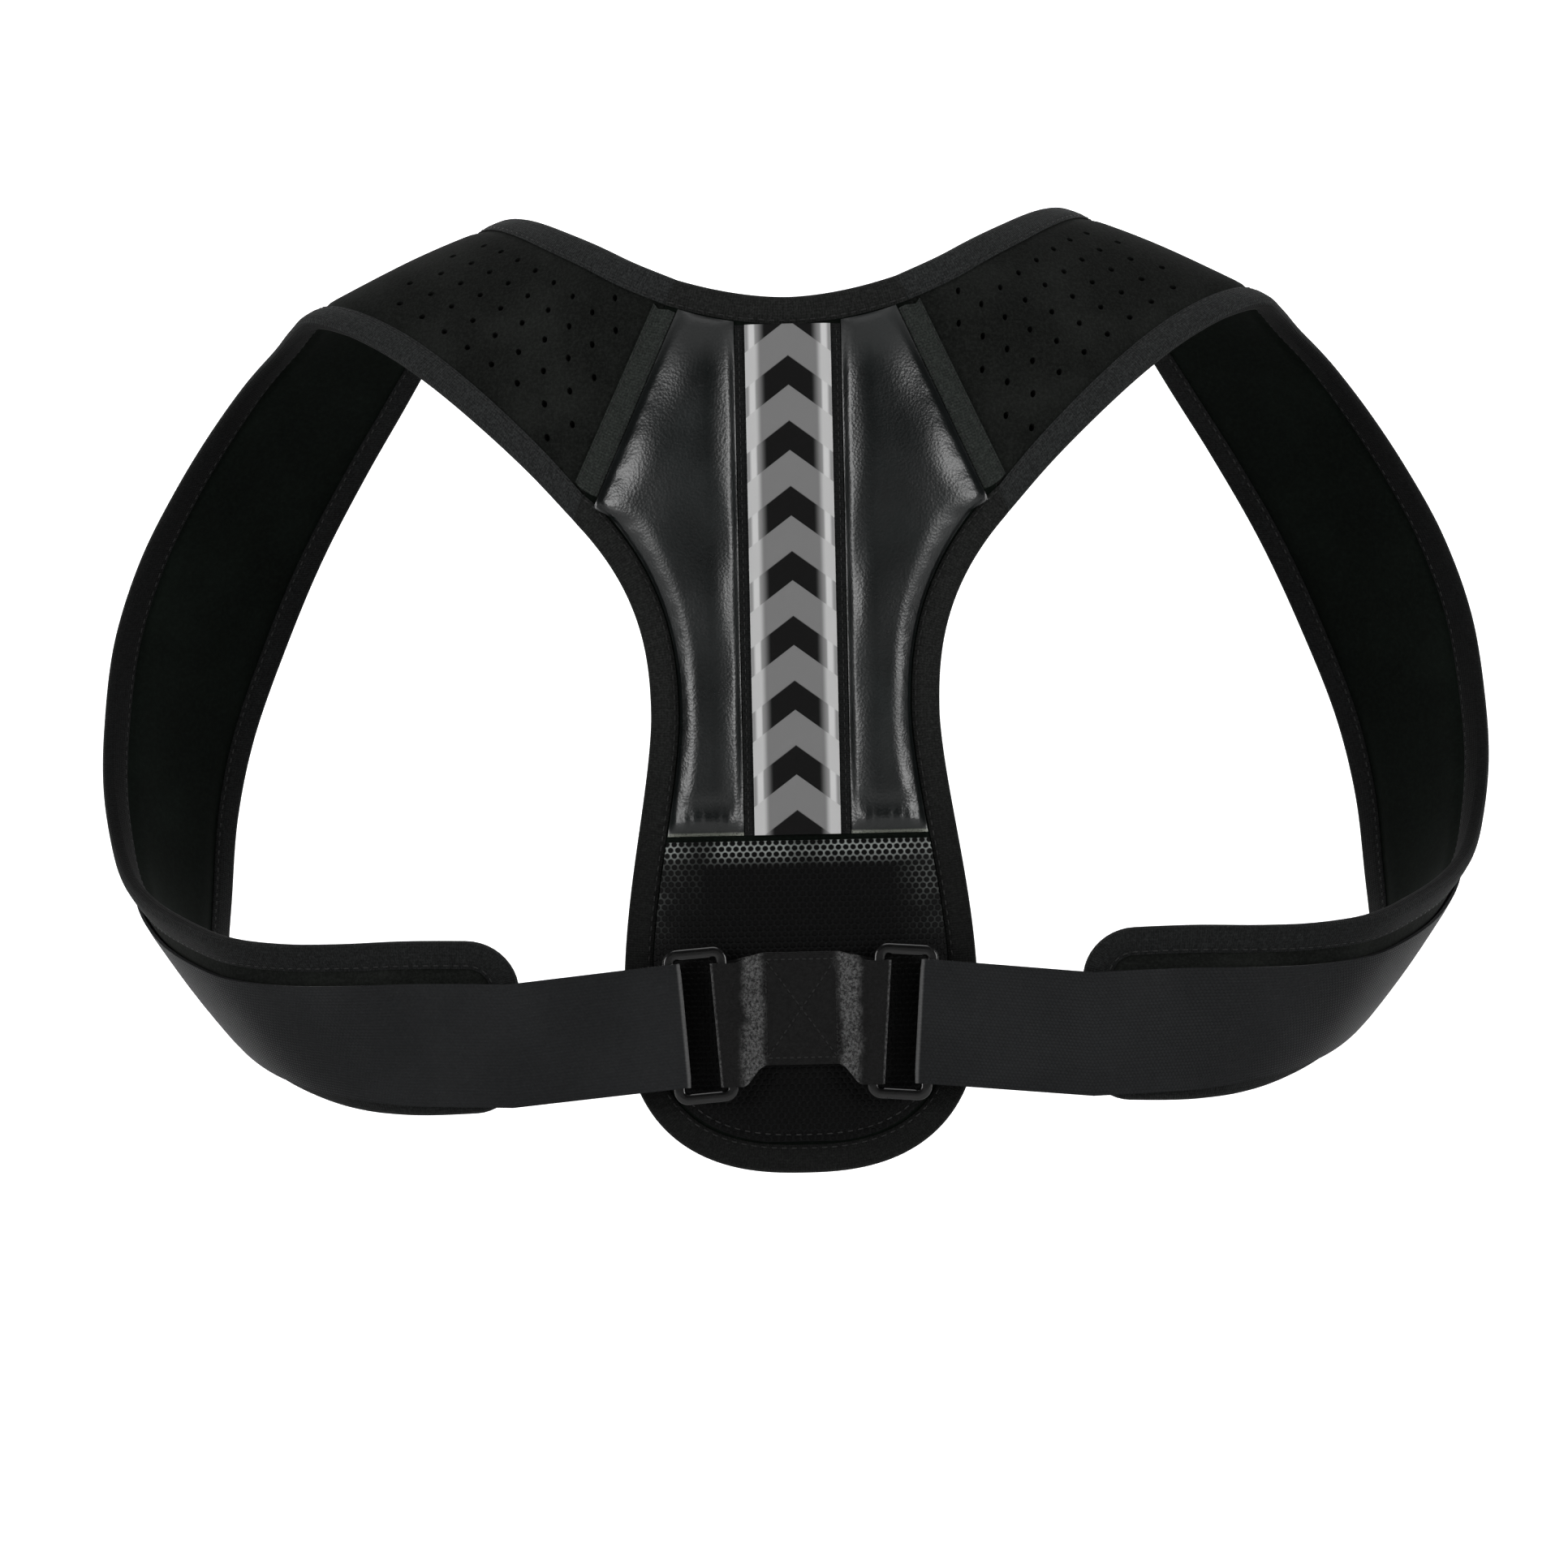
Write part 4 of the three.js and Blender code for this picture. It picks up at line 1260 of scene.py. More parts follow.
@dataclass(frozen=True)
class BindingSection:
    """Folded edge tape, seen along the edge: u is in from the edge and n across the thickness."""

    wide: float = 7.5
    wall: float = 0.9
    edge_thick: float = 2.6
    gap: float = 0.3
    nose_reach: float = 2.2
    stitch_lift: float = 0.55

    @property
    def half(self) -> float:
        """Height of the tape's outside over the middle sheet."""
        return self.edge_thick / 2 + self.gap + self.wall

    @property
    def stitch_height(self) -> float:
        """Height of the dip that the stitches lie in, over the middle sheet."""
        return self.edge_thick / 2 + self.gap + self.stitch_lift

    def outline(self) -> Array:
        """Closed loop of (u, n).

        Returns:
            Points, from the upper lip round the edge and back through the channel.
        """
        h, w, g = self.half, self.wide, self.gap
        inside = self.edge_thick / 2 + g
        nose = g + self.wall
        turn = np.linspace(math.pi / 2, -math.pi / 2, 9)
        reach = self.nose_reach
        arc = np.stack([reach - nose - reach * np.cos(turn), h * np.sin(turn)], -1)
        upper = np.array([[w, inside + 0.2], [w - 0.5, inside + 0.45], [w - 1.2, inside + 0.5],
                          [w - 1.9, h - 0.15], [w - 2.7, h], [w * 0.4, h + 0.06]])
        lower = upper[::-1] * np.array([1, -1])
        channel = np.array([[w, -inside], [g, -inside], [-g, -inside * 0.6],
                            [-g, inside * 0.6], [g, inside], [w, inside]])
        return np.vstack([upper, arc, lower, channel])

    def cloth(self) -> Array:
        """Place round the loop of each point, in millimetres."""
        return run_length(self.outline())

    def cut(self, long: float, rests_on: str) -> SheetCut:
        """Flat size of the tape before it is folded over an edge."""
        return SheetCut(float(self.cloth()[-1]) / 2, long, "folded", (rests_on,))

    def sweep(self, draft: Draft, place: Spread, lengths: Array) -> None:
        """Adds the tape to a draft.

        Args:
            draft: the piece.
            place: gives points from u and n, with a row for each stop along the edge.
            lengths: the distance along the edge of each stop.
        """
        loop = self.outline()
        grid = place(loop[None, :, 0], loop[None, :, 1])
        cloth = together(lengths[:, None], self.cloth()[None, :])
        first = draft.count
        draft.add_grid(grid, cloth, ring=True)
        last = draft.count - len(loop)
        draft.faces.append(tuple(range(first, first + len(loop))))
        draft.faces.append(tuple(range(last, last + len(loop)))[::-1])


@dataclass(frozen=True)
class BackPanel:
    """Padded back panel with its leather, mesh, tape, ribbons and bindings."""

    surface: PanelSurface
    strap: StrapSurface
    binding: BindingSection
    cover_wall: float = 1
    leather_bulge: float = 3
    mesh_bulge: float = 1.2
    leather_foot: float = 37
    tape_wide: float = 26
    tape_wall: float = 0.5
    backing_wall: float = 0.7
    backing_seen: float = 32
    mesh_clear: float = 1.8
    tape_slope: float = 9
    edge_slope: float = 7
    edge_slope_top: float = 15
    ribbon_wide: float = 8
    ribbon_wall: float = 0.8
    ribbon_long: float = 62
    tape_power: float = 1.6
    edge_ease: float = 1.2
    slope_from: float = 25
    slope_to: float = 85
    mesh_slope: float = 7
    mesh_ripple: float = 0.12
    groove_deep: float = 0.45
    groove_in: float = 2.6
    backing_inset: float = 1.2
    ribbon_inset: float = 1.1
    tongue_turn: float = 84
    mesh_turn: float = 80
    gap: float = 0.3
    backing_row: StitchRow = StitchRow(pitch=2.4, length=1.6, radius=0.18)
    ribbon_row: StitchRow = StitchRow(pitch=2.6, length=1.8, radius=0.2)

    def build(self, looks: Looks) -> None:
        """Makes every piece of the panel.

        Args:
            looks: the finishes by name.
        """
        settle(self.base().build("panel_padding", looks["lining"]), ["back_panel"])
        for name, node, stops in (("panel_neck_binding", "neckline_binding", self.neck_line()),
                                  ("panel_edge_binding", "panel_binding", self.side_edge_line())):
            draft, long = self._bound(*stops)
            settle(draft.build(name, looks["panel_tape"]), [node],
                   cut=self.binding.cut(long, "panel_padding"))
        settle(self.mesh().build("panel_mesh", looks["mesh"]), ["mesh_panel"])
        settle(self.backing().build("panel_tape_backing", looks["backing"]), ["tape_backing"],
               cut=SheetCut(self.backing_seen, self.strip_long, "stretched", ("panel_padding",)))
        settle(self.tape().build("panel_reflective_tape", looks["tape"]), ["reflective_tape"],
               cut=SheetCut(self.tape_wide, self.strip_long, "stretched", ("panel_tape_backing",)))
        settle(self.threads().build("panel_stitches", looks["thread"]))
        leather, ribbon, seams = self.leather(), self.ribbon(), self.ribbon_threads()
        for side in Side:
            word = side.word
            settle(leather.on(side).build(f"panel_leather_{word}", looks["leather"]),
                   [f"leather_{word}"])
            settle(ribbon.on(side).build(f"panel_seam_{word}", looks["ribbon"]),
                   [f"seam_ribbon_{word}"])
            settle(seams.on(side).build(f"panel_seam_stitches_{word}", looks["thread"]))

    @property
    def strip_long(self) -> float:
        """Length of the tape and its backing, from under the neckline binding to the mesh."""
        return self.surface.neck_dip - self.binding.wide - self.gap + self.leather_foot

    def outline_distance(self, x: Array, up: Array) -> Array:
        """Distance from places on the panel to its outline.

        Args:
            x: places across the panel.
            up: heights over the waist.

        Returns:
            Distances.
        """
        s = self.surface
        top = np.linspace(0, s.head_out, 14)
        seam = np.linspace(0, 1, 14)
        line = np.vstack([np.stack([top, s.neckline(top)], -1),
                          np.stack([lerp(s.head_out, s.foot_out, seam),
                                    lerp(s.head_up, s.foot_up, seam)], -1),
                          s.side_line(60)])
        a, b = line[:-1], line[1:]
        place = np.stack([np.abs(x), up], -1)[..., None, :]
        run = b - a
        t = ((place - a) * run).sum(-1) / np.maximum((run**2).sum(-1), TINY)
        nearest = a + run * np.clip(t, 0, 1)[..., None]
        return np.linalg.norm(place - nearest, axis=-1).min(-1)

    def base(self) -> Draft:
        """Padded base, thin where the bindings and ribbons lie.

        Returns:
            The piece.
        """
        s = self.surface
        rows = [np.linspace(s.head_up, s.foot_up, 30), np.linspace(s.foot_up, -s.tongue_widest, 60)[1:]]
        turn = np.linspace(0, math.radians(self.tongue_turn), 24)[1:]
        rows.append(-s.tongue_widest - (s.tongue_tip - s.tongue_widest) * np.sin(turn) ** s.roundness)
        up = np.concatenate(rows)[:, None]
        u = np.sin(np.linspace(-math.pi / 2, math.pi / 2, 41))[None, :]
        half = s.half(up)
        x = u * half
        centre = lerp(s.foot_up, s.neck_dip, (up - s.foot_up) / (s.head_up - s.foot_up))
        level = np.where(up >= s.foot_up, lerp(centre, up, np.abs(u) ** 1.8), up)
        pad = smooth(self.outline_distance(x, level), self.binding.wide + 0.5, self.binding.wide + 3.5)
        height = lerp(self.binding.edge_thick / 2, s.thick / 2, pad)
        cloth = together(x, level)
        draft = Draft()
        mid = s.thick / 2
        draft.add_shell(s.point(x, level, mid + height), s.point(x, level, mid - height), cloth)
        return draft

    def _edge(self, line: Array, ends: tuple[Array, Array]) -> tuple[Array, Array]:
        """Stops along an edge and the direction inwards at each.

        Args:
            line: points of the edge as (x, up).
            ends: directions inwards at the first and the last.

        Returns:
            The points and the directions.
        """
        along = unit(np.gradient(line, axis=0))
        inwards = np.stack([along[:, 1], -along[:, 0]], -1)
        inwards[0], inwards[-1] = ends
        return line, inwards

    def _bound(self, line: Array, inwards: Array) -> tuple[Draft, float]:
        """Binding along stops on the panel, and its length.

        Args:
            line: points of the edge as (x, up).
            inwards: direction inwards at each.

        Returns:
            The piece and its length.
        """
        s = self.surface
        draft = Draft()
        lengths = run_length(line)

        def place(u: Array, n: Array) -> Array:
            """Points of the section at each stop."""
            x, up = line[:, :1] + u * inwards[:, :1], line[:, 1:] + u * inwards[:, 1:]
            return s.point(x, up, s.thick / 2 + n)

        self.binding.sweep(draft, place, lengths)
        return draft, float(lengths[-1])

    def neck_line(self) -> tuple[Array, Array]:
        """Stops along the neckline.

        Returns:
            Points as (x, up), and the direction inwards at each.
        """
        s = self.surface
        half = s.head_out
        x = np.linspace(-half, half, 60)
        down = s.seam_down
        return self._edge(np.stack([x, s.neckline(x)], -1), (np.array([-down[0], down[1]]), down))

    def side_edge_line(self) -> tuple[Array, Array]:
        """Stops from the right seam's foot round the tongue to the left one's.

        Returns:
            Points as (x, up), and the direction inwards at each.
        """
        s = self.surface
        right = s.side_line(120)
        left = (right[:-1] * np.array([-1, 1]))[::-1]
        down = s.seam_down
        return self._edge(np.vstack([right, left]), (-down, np.array([down[0], -down[1]])))

    def threads(self) -> Draft:
        """Stitch lines of the panel: bindings, tape backing, and the tongue arc along the mesh edge.

        Returns:
            The piece.
        """
        s = self.surface
        draft = Draft()
        row = StitchRow()
        mid = s.thick / 2
        for line, inwards in (self.neck_line(), self.side_edge_line()):
            for face in Face:
                place = line + inwards * (self.binding.wide - 1)
                height = mid + face.value * self.binding.stitch_height
                normals = s.normal(place[:, 0], place[:, 1]) * face.value
                row.sew(draft, s.point(place[:, 0], place[:, 1], height), normals)
        top = s.neck_dip - self.binding.wide - 2
        side = self.backing_seen / 2 - self.backing_inset
        for x in (-side, side):
            up = np.linspace(top, -self.leather_foot + 1, 80)
            line = s.point(x, up, s.thick + self.gap + self.backing_wall + 0.05)
            self.backing_row.sew(draft, line, s.normal(x + 0 * up, up))
        line, inwards = self.side_edge_line()
        low = line[:, 1] < -s.tongue_widest - 8
        place = (line + inwards * (self.binding.wide + 2 * self.gap + self.groove_in))[low]
        height = s.thick + self.gap + self.cover_wall + 0.25
        row.sew(draft, s.point(place[:, 0], place[:, 1], height), s.normal(place[:, 0], place[:, 1]))
        return draft

    def leather_grid(self) -> tuple[Array, Array, Array]:
        """Places and heights of the right leather: x, up and height over the wearer's face.

        Returns:
            The three arrays, which spread to one shape.
        """
        s = self.surface
        inner = self.backing_seen / 2 + self.gap
        inset = self.binding.wide + 2 * self.gap
        seam_inset = self.ribbon_wide / 2 + self.gap
        turn = np.linspace(0.12, math.pi - 0.12, 44)
        across = np.concatenate([[0], 0.5 - 0.5 * np.cos(turn), [1]])[None, :]
        along = np.concatenate([[0], np.linspace(0.004, 0.996, 150), [1]])[:, None]

        def outer_at(up: Array) -> Array:
            """Outer edge at a height.

            Args:
                up: heights over the waist.

            Returns:
                Places across the panel.
            """
            seam_x = s.head_out + (s.head_up - up) * (s.foot_out - s.head_out) / (s.head_up - s.foot_up)
            run = math.hypot(s.foot_out - s.head_out, s.head_up - s.foot_up) / (s.head_up - s.foot_up)
            by_panel = s.half_inset(np.minimum(up, s.foot_up - 0.6), inset)
            by_panel = by_panel + np.maximum(0, up - s.foot_up) * 2
            return np.minimum(seam_x - seam_inset * run, by_panel)

        top_outer = outer_at(s.neckline(np.array(s.head_out)) - inset)
        top = s.neckline(lerp(inner, top_outer, across)) - inset
        up = lerp(top, -self.leather_foot, along)
        x = lerp(inner, outer_at(up), across)
        by_tape = 1 - (1 - np.clip((x - inner) / self.tape_slope, 0, 1)) ** self.tape_power
        edge_slope = lerp(self.edge_slope, self.edge_slope_top, smooth(up, self.slope_from, self.slope_to))
        eased = sum(outer_at(up + k * self.edge_ease) for k in range(-2, 3)) / 5
        by_edge = 1 - (1 - np.clip((eased - x) / edge_slope, 0, 1)) ** 2
        rise = by_tape * by_edge * (1 - np.abs(2 * along - 1) ** 8) ** 0.5
        height = self.leather_bulge * rise
        height = height + self.leather_folds(x, up, across) * np.minimum(1, rise * 1.5)
        base = s.thick + self.gap
        return x, up, base + self.cover_wall * (0.2 + 0.8 * smooth(rise, 0, 0.35)) + height

    def leather_folds(self, x: Array, up: Array, across: Array) -> Array:
        """Heights of the leather's slack: a roll over the lower seam, puckers and soft dents.

        Args:
            x: places across the panel.
            up: heights over the waist.
            across: shares of the way from the tape to the outer edge.

        Returns:
            Heights over the padded form.
        """
        foot = up + self.leather_foot
        roll = 0.5 * bell(foot, 4.2, 2.0) - 0.35 * bell(foot, 9.0, 3.0)
        pucker = 0.16 * np.sin(x * 1.9 + 0.4 * np.sin(up * 0.3)) * bell(foot, 3.5, 3.5)
        edge = 0.14 * np.sin(up * 0.9 + np.sin(x * 0.4)) * bell(across, 0.97, 0.1)
        dents = 0.4 * ripple(x * 2.4, up * 1.3, 1.3)
        return roll + pucker + edge + dents

    def leather(self) -> Draft:
        """Right-hand leather pad.

        Returns:
            The piece.
        """
        s = self.surface
        x, up, height = self.leather_grid()
        draft = Draft()
        cloth = together(x, up)
        draft.add_shell(s.point(x, up, height), s.point(x, up, s.thick + self.gap), cloth)
        return draft

    def mesh(self) -> Draft:
        """Mesh cover of the tongue.

        Returns:
            The piece.
        """
        s = self.surface
        inset = self.binding.wide + 2 * self.gap
        top = -self.leather_foot - self.mesh_clear
        turn = np.linspace(0, math.radians(self.mesh_turn), 30)[1:]
        straight = np.linspace(top, -s.tongue_widest, 60)
        depth = s.tongue_tip - s.tongue_widest - inset
        up_edge = np.concatenate([straight, -s.tongue_widest - depth * np.sin(turn) ** s.roundness])
        half = np.concatenate([s.half_inset(straight, inset),
                               (s.tongue_half - inset) * np.cos(turn) ** s.roundness])
        up = up_edge[:, None]
        u = np.linspace(-1, 1, 61)[None, :]
        x = u * half[:, None]
        along = (up - up[0]) / (up[-1] - up[0])
        by_top = 1 - (1 - np.clip((top - up) / self.mesh_slope, 0, 1)) ** 2
        rise = (1 - np.abs(u) ** 6) * by_top * np.sqrt(np.maximum(0, 1 - np.maximum(0, 2 * along - 1) ** 6))
        edge = np.minimum(self.outline_distance(x, up + 0 * x) - inset, top - up)
        groove = self.groove_deep * bell(edge, self.groove_in, 1.0) * (up < -s.tongue_widest)
        swell = self.mesh_ripple * ripple(x, up + 0 * x, 2.2)
        height = self.cover_wall + self.mesh_bulge * rise - groove + swell
        cloth = together(up + 0 * x, x)
        base = s.thick + self.gap
        draft = Draft()
        draft.add_shell(s.point(x, up, base + height), s.point(x, up, base), cloth)
        return draft

    def _strip(self, wide: float, wall: float, raised: float, crown: float, columns: int) -> Draft:
        """Flat strip down the centre line, with heights and places across as its cloth coordinates.

        Args:
            wide: its width.
            wall: its thickness.
            raised: height of its underside.
            crown: swell of its middle.
            columns: points across.

        Returns:
            The piece.
        """
        s = self.surface
        top = s.neck_dip - self.binding.wide - self.gap
        up = np.linspace(top, -self.leather_foot, 120)[:, None]
        x = np.linspace(-wide / 2, wide / 2, columns)[None, :]
        share = np.abs(2 * x / wide)
        height = raised + wall * (1 - 0.5 * share**8) + crown * (1 - share**4)
        cloth = together(up, x)
        draft = Draft()
        draft.add_shell(s.point(x, up, height), s.point(x, up, raised + 0 * height), cloth)
        return draft

    def backing(self) -> Draft:
        """Dark ribbon under the tape."""
        return self._strip(self.backing_seen, self.backing_wall, self.surface.thick + self.gap, 0, 15)

    def tape(self) -> Draft:
        """Reflective tape."""
        raised = self.surface.thick + self.backing_wall + 2 * self.gap
        return self._strip(self.tape_wide, self.tape_wall, raised, 0.25, 27)

    def _ribbon_rows(self, height: float, offsets: Sequence[float]) -> Array:
        """Rows of points along the seam at offsets across it, from the panel to the wing.

        Args:
            height: height over the middle sheet.
            offsets: distances from the seam, below 0 on the panel.

        Returns:
            Points as rows and columns.
        """
        s = self.surface
        half = self.ribbon_wide / 2
        wing = float(self.strap.width_at(half))
        clear = (self.binding.wide + 3 * self.gap) / wing
        share = np.linspace(clear, 1 - clear, 48)
        x = lerp(s.head_out, s.foot_out, share)
        up = lerp(s.head_up, s.foot_up, share)
        down = s.seam_down
        lines = []
        for offset in offsets:
            if offset <= 0:
                lines.append(s.point(x - offset * down[1], up + offset * down[0], s.thick / 2 + height))
            else:
                lines.append(self.strap.point(offset, (1 - share) * wing, height))
        return np.stack(lines, 1)

    def ribbon(self) -> Draft:
        """Ribbon over the right-hand seam.

        Returns:
            The piece.
        """
        half = self.ribbon_wide / 2
        offsets = np.array([-1, -0.97, -0.8, -0.55, -0.4, 0.4, 0.55, 0.8, 0.97, 1]) * half
        lift = self.binding.edge_thick / 2 + self.gap
        round_edge = self.ribbon_wall * (1 - 0.5 * np.abs(offsets / half) ** 6)
        outer = np.stack([self._ribbon_rows(lift + h, [o])[:, 0] for o, h in zip(offsets, round_edge)], 1)
        inner = self._ribbon_rows(lift, offsets)
        length = np.linspace(0, self.ribbon_long, len(outer))[:, None]
        cloth = together(length, offsets[None, :])
        draft = Draft()
        draft.add_shell(outer, inner, cloth)
        return draft

    def ribbon_threads(self) -> Draft:
        """Two stitch lines on the right-hand ribbon.

        Returns:
            The piece.
        """
        lift = self.binding.edge_thick / 2 + self.gap + self.ribbon_wall
        draft = Draft()
        side = self.ribbon_wide / 2 - self.ribbon_inset
        for offset in (-side, side):
            line = self._ribbon_rows(lift, [offset])[:, 0]
            normals = unit(self._ribbon_rows(lift + 1, [offset])[:, 0] - line)
            self.ribbon_row.sew(draft, line, normals)
        return draft


@dataclass(frozen=True)
class Perforations:
    """Staggered rows of holes along the wing."""

    radius: float = 1
    pitch: float = 10
    row_pitch: float = 8
    first: float = 12
    columns: int = 8
    rows_beside: int = 3
    clear: float = 3.5
    sides: int = 14

    def places(self, strap: StrapSurface, binding: float) -> list[tuple[float, float]]:
        """Middle of each hole, as (length, from the arm edge).

        Args:
            strap: the strap's sheet.
            binding: width of the binding.

        Returns:
            A place for each hole that clears the binding.
        """
        found = []
        for column in range(self.columns):
            for line in range(-self.rows_beside, self.rows_beside + 1):
                length = self.first + self.pitch * (column + abs(line) % 2 / 2)
                half = float(strap.width_at(length)) / 2
                if abs(line * self.row_pitch) <= half - binding - self.clear:
                    found.append((length, half + line * self.row_pitch))
        return found


@dataclass(frozen=True)
class ShoulderStrap:
    """Padded shoulder strap with its lining, perforations and binding."""

    strap: StrapSurface
    binding: BindingSection
    holes: Perforations
    thick: float = 4.4
    lining_wall: float = 0.9
    ribbon_half: float = 4
    gap: float = 0.3
    spacing: float = 2.6

    def build(self, looks: Looks) -> None:
        """Makes both straps.

        Args:
            looks: the finishes by name.
        """
        body, lining, edge, threads = self.body(), self.lining(), self.edge(), self.threads()
        for side in Side:
            word = side.word
            settle(body.on(side).build(f"strap_padding_{word}", looks["neoprene"]),
                   [f"shoulder_strap_{word}"])
            under = f"strap_padding_{word}"
            settle(lining.on(side).build(f"strap_inner_cloth_{word}", looks["lining"]),
                   [f"strap_lining_{word}"], cut=self.lining_cut(under))
            settle(edge.on(side).build(f"strap_edge_binding_{word}", looks["binding"]),
                   [f"strap_binding_{word}"], cut=self.binding.cut(float(self.edge_stops()[2][-1]), under))
            settle(threads.on(side).build(f"strap_stitches_{word}", looks["thread"]))

    def lining_cut(self, rests_on: str) -> SheetCut:
        """Flat size of the lining, which is as wide as the strap all along.

        Args:
            rests_on: name of the padding.

        Returns:
            The flat size.
        """
        lengths = np.linspace(0, self.strap.length, 200)
        widths = self.strap.width_at(lengths)
        area = float(widths.mean()) * self.strap.length
        return SheetCut(float(widths.max()), self.strap.length, "stretched", (rests_on,), area)

    def pad(self, length: Array, from_arm: Array) -> Array:
        """Share of the full padding: none under the binding or the seam ribbon.

        Args:
            length: lengths along the strap.
            from_arm: distances in from the arm edge.

        Returns:
            Shares.
        """
        start = self.ribbon_half + self.gap
        by_seam = smooth(length, start, start + 3)
        inside = self.strap.edge_distance(length, from_arm) - self.binding.wide
        by_edge = smooth(inside, 0.3, 4)
        return np.minimum(by_seam, by_edge)

    def plate(self, holes: Places) -> FlatCut:
        """Flat cut of the strap as triangles.

        Args:
            holes: middle of each hole.

        Returns:
            Places as (length, from the arm edge), triangles, and the loops of outline and holes.
        """
        outline = self.strap.edge_line(self.gap, self.spacing)
        start_width = float(self.strap.width_at(self.gap))
        seam = np.stack([np.full(28, self.gap), np.linspace(start_width, 0, 28)], -1)[1:-1]
        outline = np.vstack([outline, seam])
        sides = self.holes.sides
        turn = np.arange(sides) * 2 * math.pi / sides
        rims = [np.stack([a + self.holes.radius * np.cos(turn), b + self.holes.radius * np.sin(turn)], -1)
                for a, b in holes]
        return cut_flat([outline, *rims], self._lattice(holes))

    def _lattice(self, holes: Places) -> Array:
        """Inner points of the cut, clear of the outline and the holes.

        Args:
            holes: middle of each hole.

        Returns:
            Places as (length, from the arm edge).
        """
        strap = self.strap
        step = self.spacing
        lengths = np.arange(self.gap + step, strap.length, step * 0.87)
        rows = []
        for i, length in enumerate(lengths):
            width = float(strap.width_at(length))
            count = int(width / step)
            places = (np.arange(count) + 0.5 + 0.5 * (i % 2)) * width / count
            rows.append(np.stack([np.full(count, length), places], -1))
        grid = np.vstack(rows)
        inside = strap.edge_distance(grid[:, 0], grid[:, 1]) > step * 0.45
        for a, b in holes:
            inside &= np.hypot(grid[:, 0] - a, grid[:, 1] - b) > self.holes.radius + 0.7
        return grid[inside]

    def solid(self, holes: Places, outer: Spread, inner: Spread) -> Draft:
        """Closed sheet between two heights.

        Args:
            holes: middle of each hole.
            outer: height of the outer face from length and place.
            inner: the same for the inner face.

        Returns:
            The piece.
        """
        places, faces, loops = self.plate(holes)
        length, from_arm = places.T
        top = self.strap.point(length, from_arm, outer(length, from_arm))
        bottom = self.strap.point(length, from_arm, inner(length, from_arm))
        draft = Draft()
        draft.add(top, [f[::-1] for f in faces], places)
        draft.add(bottom, faces, places)
        for number, loop in enumerate(loops):
            rim = np.stack([top[loop], bottom[loop]])
            draft.add_grid(rim, np.stack([places[loop]] * 2), ring=True, flip=number > 0)
        return draft

    def body(self) -> Draft:
        """Padded body of the right-hand strap.

        Returns:
            The piece.
        """
        half_edge = self.binding.edge_thick / 2

        def outer(length: Array, from_arm: Array) -> Array:
            """Height of the outer face, with soft swells.

            Args:
                length: lengths along the strap.
                from_arm: distances in from the arm edge.

            Returns:
                Heights.
            """
            pad = self.pad(length, from_arm)
            swell = 0.25 * ripple(length, from_arm, 0.6) * pad
            return lerp(half_edge, self.thick / 2, pad) + swell

        def inner(length: Array, from_arm: Array) -> Array:
            """Height of the inner face."""
            pad = self.pad(length, from_arm)
            return -lerp(half_edge - self.lining_wall - self.gap, self.thick / 2 - self.lining_wall, pad)

        return self.solid(self.holes.places(self.strap, self.binding.wide), outer, inner)

    def lining(self) -> Draft:
        """Lining on the wearer's side of the right-hand strap.

        Returns:
            The piece.
        """
        half_edge = self.binding.edge_thick / 2

        def top(length: Array, from_arm: Array) -> Array:
            """Face against the padding."""
            pad = self.pad(length, from_arm)
            return -lerp(half_edge - self.lining_wall, self.thick / 2 - self.lining_wall + self.gap, pad)

        def bottom(length: Array, from_arm: Array) -> Array:
            """Face against the wearer."""
            swell = 0.2 * ripple(length, from_arm, 1.9) * self.pad(length, from_arm)
            return top(length, from_arm) - self.lining_wall + swell

        return self.solid([], top, bottom)

    def edge_stops(self) -> tuple[Array, Array, Array]:
        """Stops round the strap: the outline, the direction inwards at each, and the distance along.

        Returns:
            The three arrays, one entry for each stop.
        """
        strap = self.strap
        line = strap.edge_line(0.05, 3)
        widths = strap.width_at(line[:, 0])
        past = np.maximum(line[:, 0] - strap.corner, 0)
        near_arm = line[:, 1] < widths / 2
        aside = np.minimum(line[:, 1], widths - line[:, 1])
        r = strap.end_radius
        inwards = np.stack([-past / r, np.where(near_arm, 1, -1) * np.clip((r - aside) / r, 0, 1)], -1)
        return line, unit(inwards), run_length(strap.point(line[:, 0], line[:, 1], 0))

    def edge(self) -> Draft:
        """Binding out along the arm edge, round the end and back along the neck edge.

        Returns:
            The piece.
        """
        line, inwards, lengths = self.edge_stops()
        draft = Draft()

        def place(u: Array, n: Array) -> Array:
            """Points of the section at each stop."""
            return self.strap.point(line[:, :1] + u * inwards[:, :1], line[:, 1:] + u * inwards[:, 1:], n)

        self.binding.sweep(draft, place, lengths)
        return draft

    def threads(self) -> Draft:
        """Stitch lines on both faces of the right-hand binding.

        Returns:
            The piece.
        """
        line, inwards, _ = self.edge_stops()
        place = line + inwards * (self.binding.wide - 1)
        draft = Draft()
        for face in Face:
            height = face.value * self.binding.stitch_height
            seam = self.strap.point(place[:, 0], place[:, 1], height)
            beyond = self.strap.point(place[:, 0], place[:, 1], height + face.value)
            StitchRow().sew(draft, seam, unit(beyond - seam))
        return draft


@dataclass(frozen=True)
class RingSizes:
    """Rectangular ring that the webbing runs through."""

    wide: float = 20
    tall: float = 48
    thick: float = 3
    bar: float = 3.6
    corner: float = 4
    out: float = 31
    drop: float = 95
    lean: float = 4.2
    mid: float = 11.05
    bar_power: float = 0.55

    def lean_at(self, up: Array) -> Array:
        """How far a height leans outwards."""
        return math.tan(math.radians(self.lean)) * (up + self.drop)


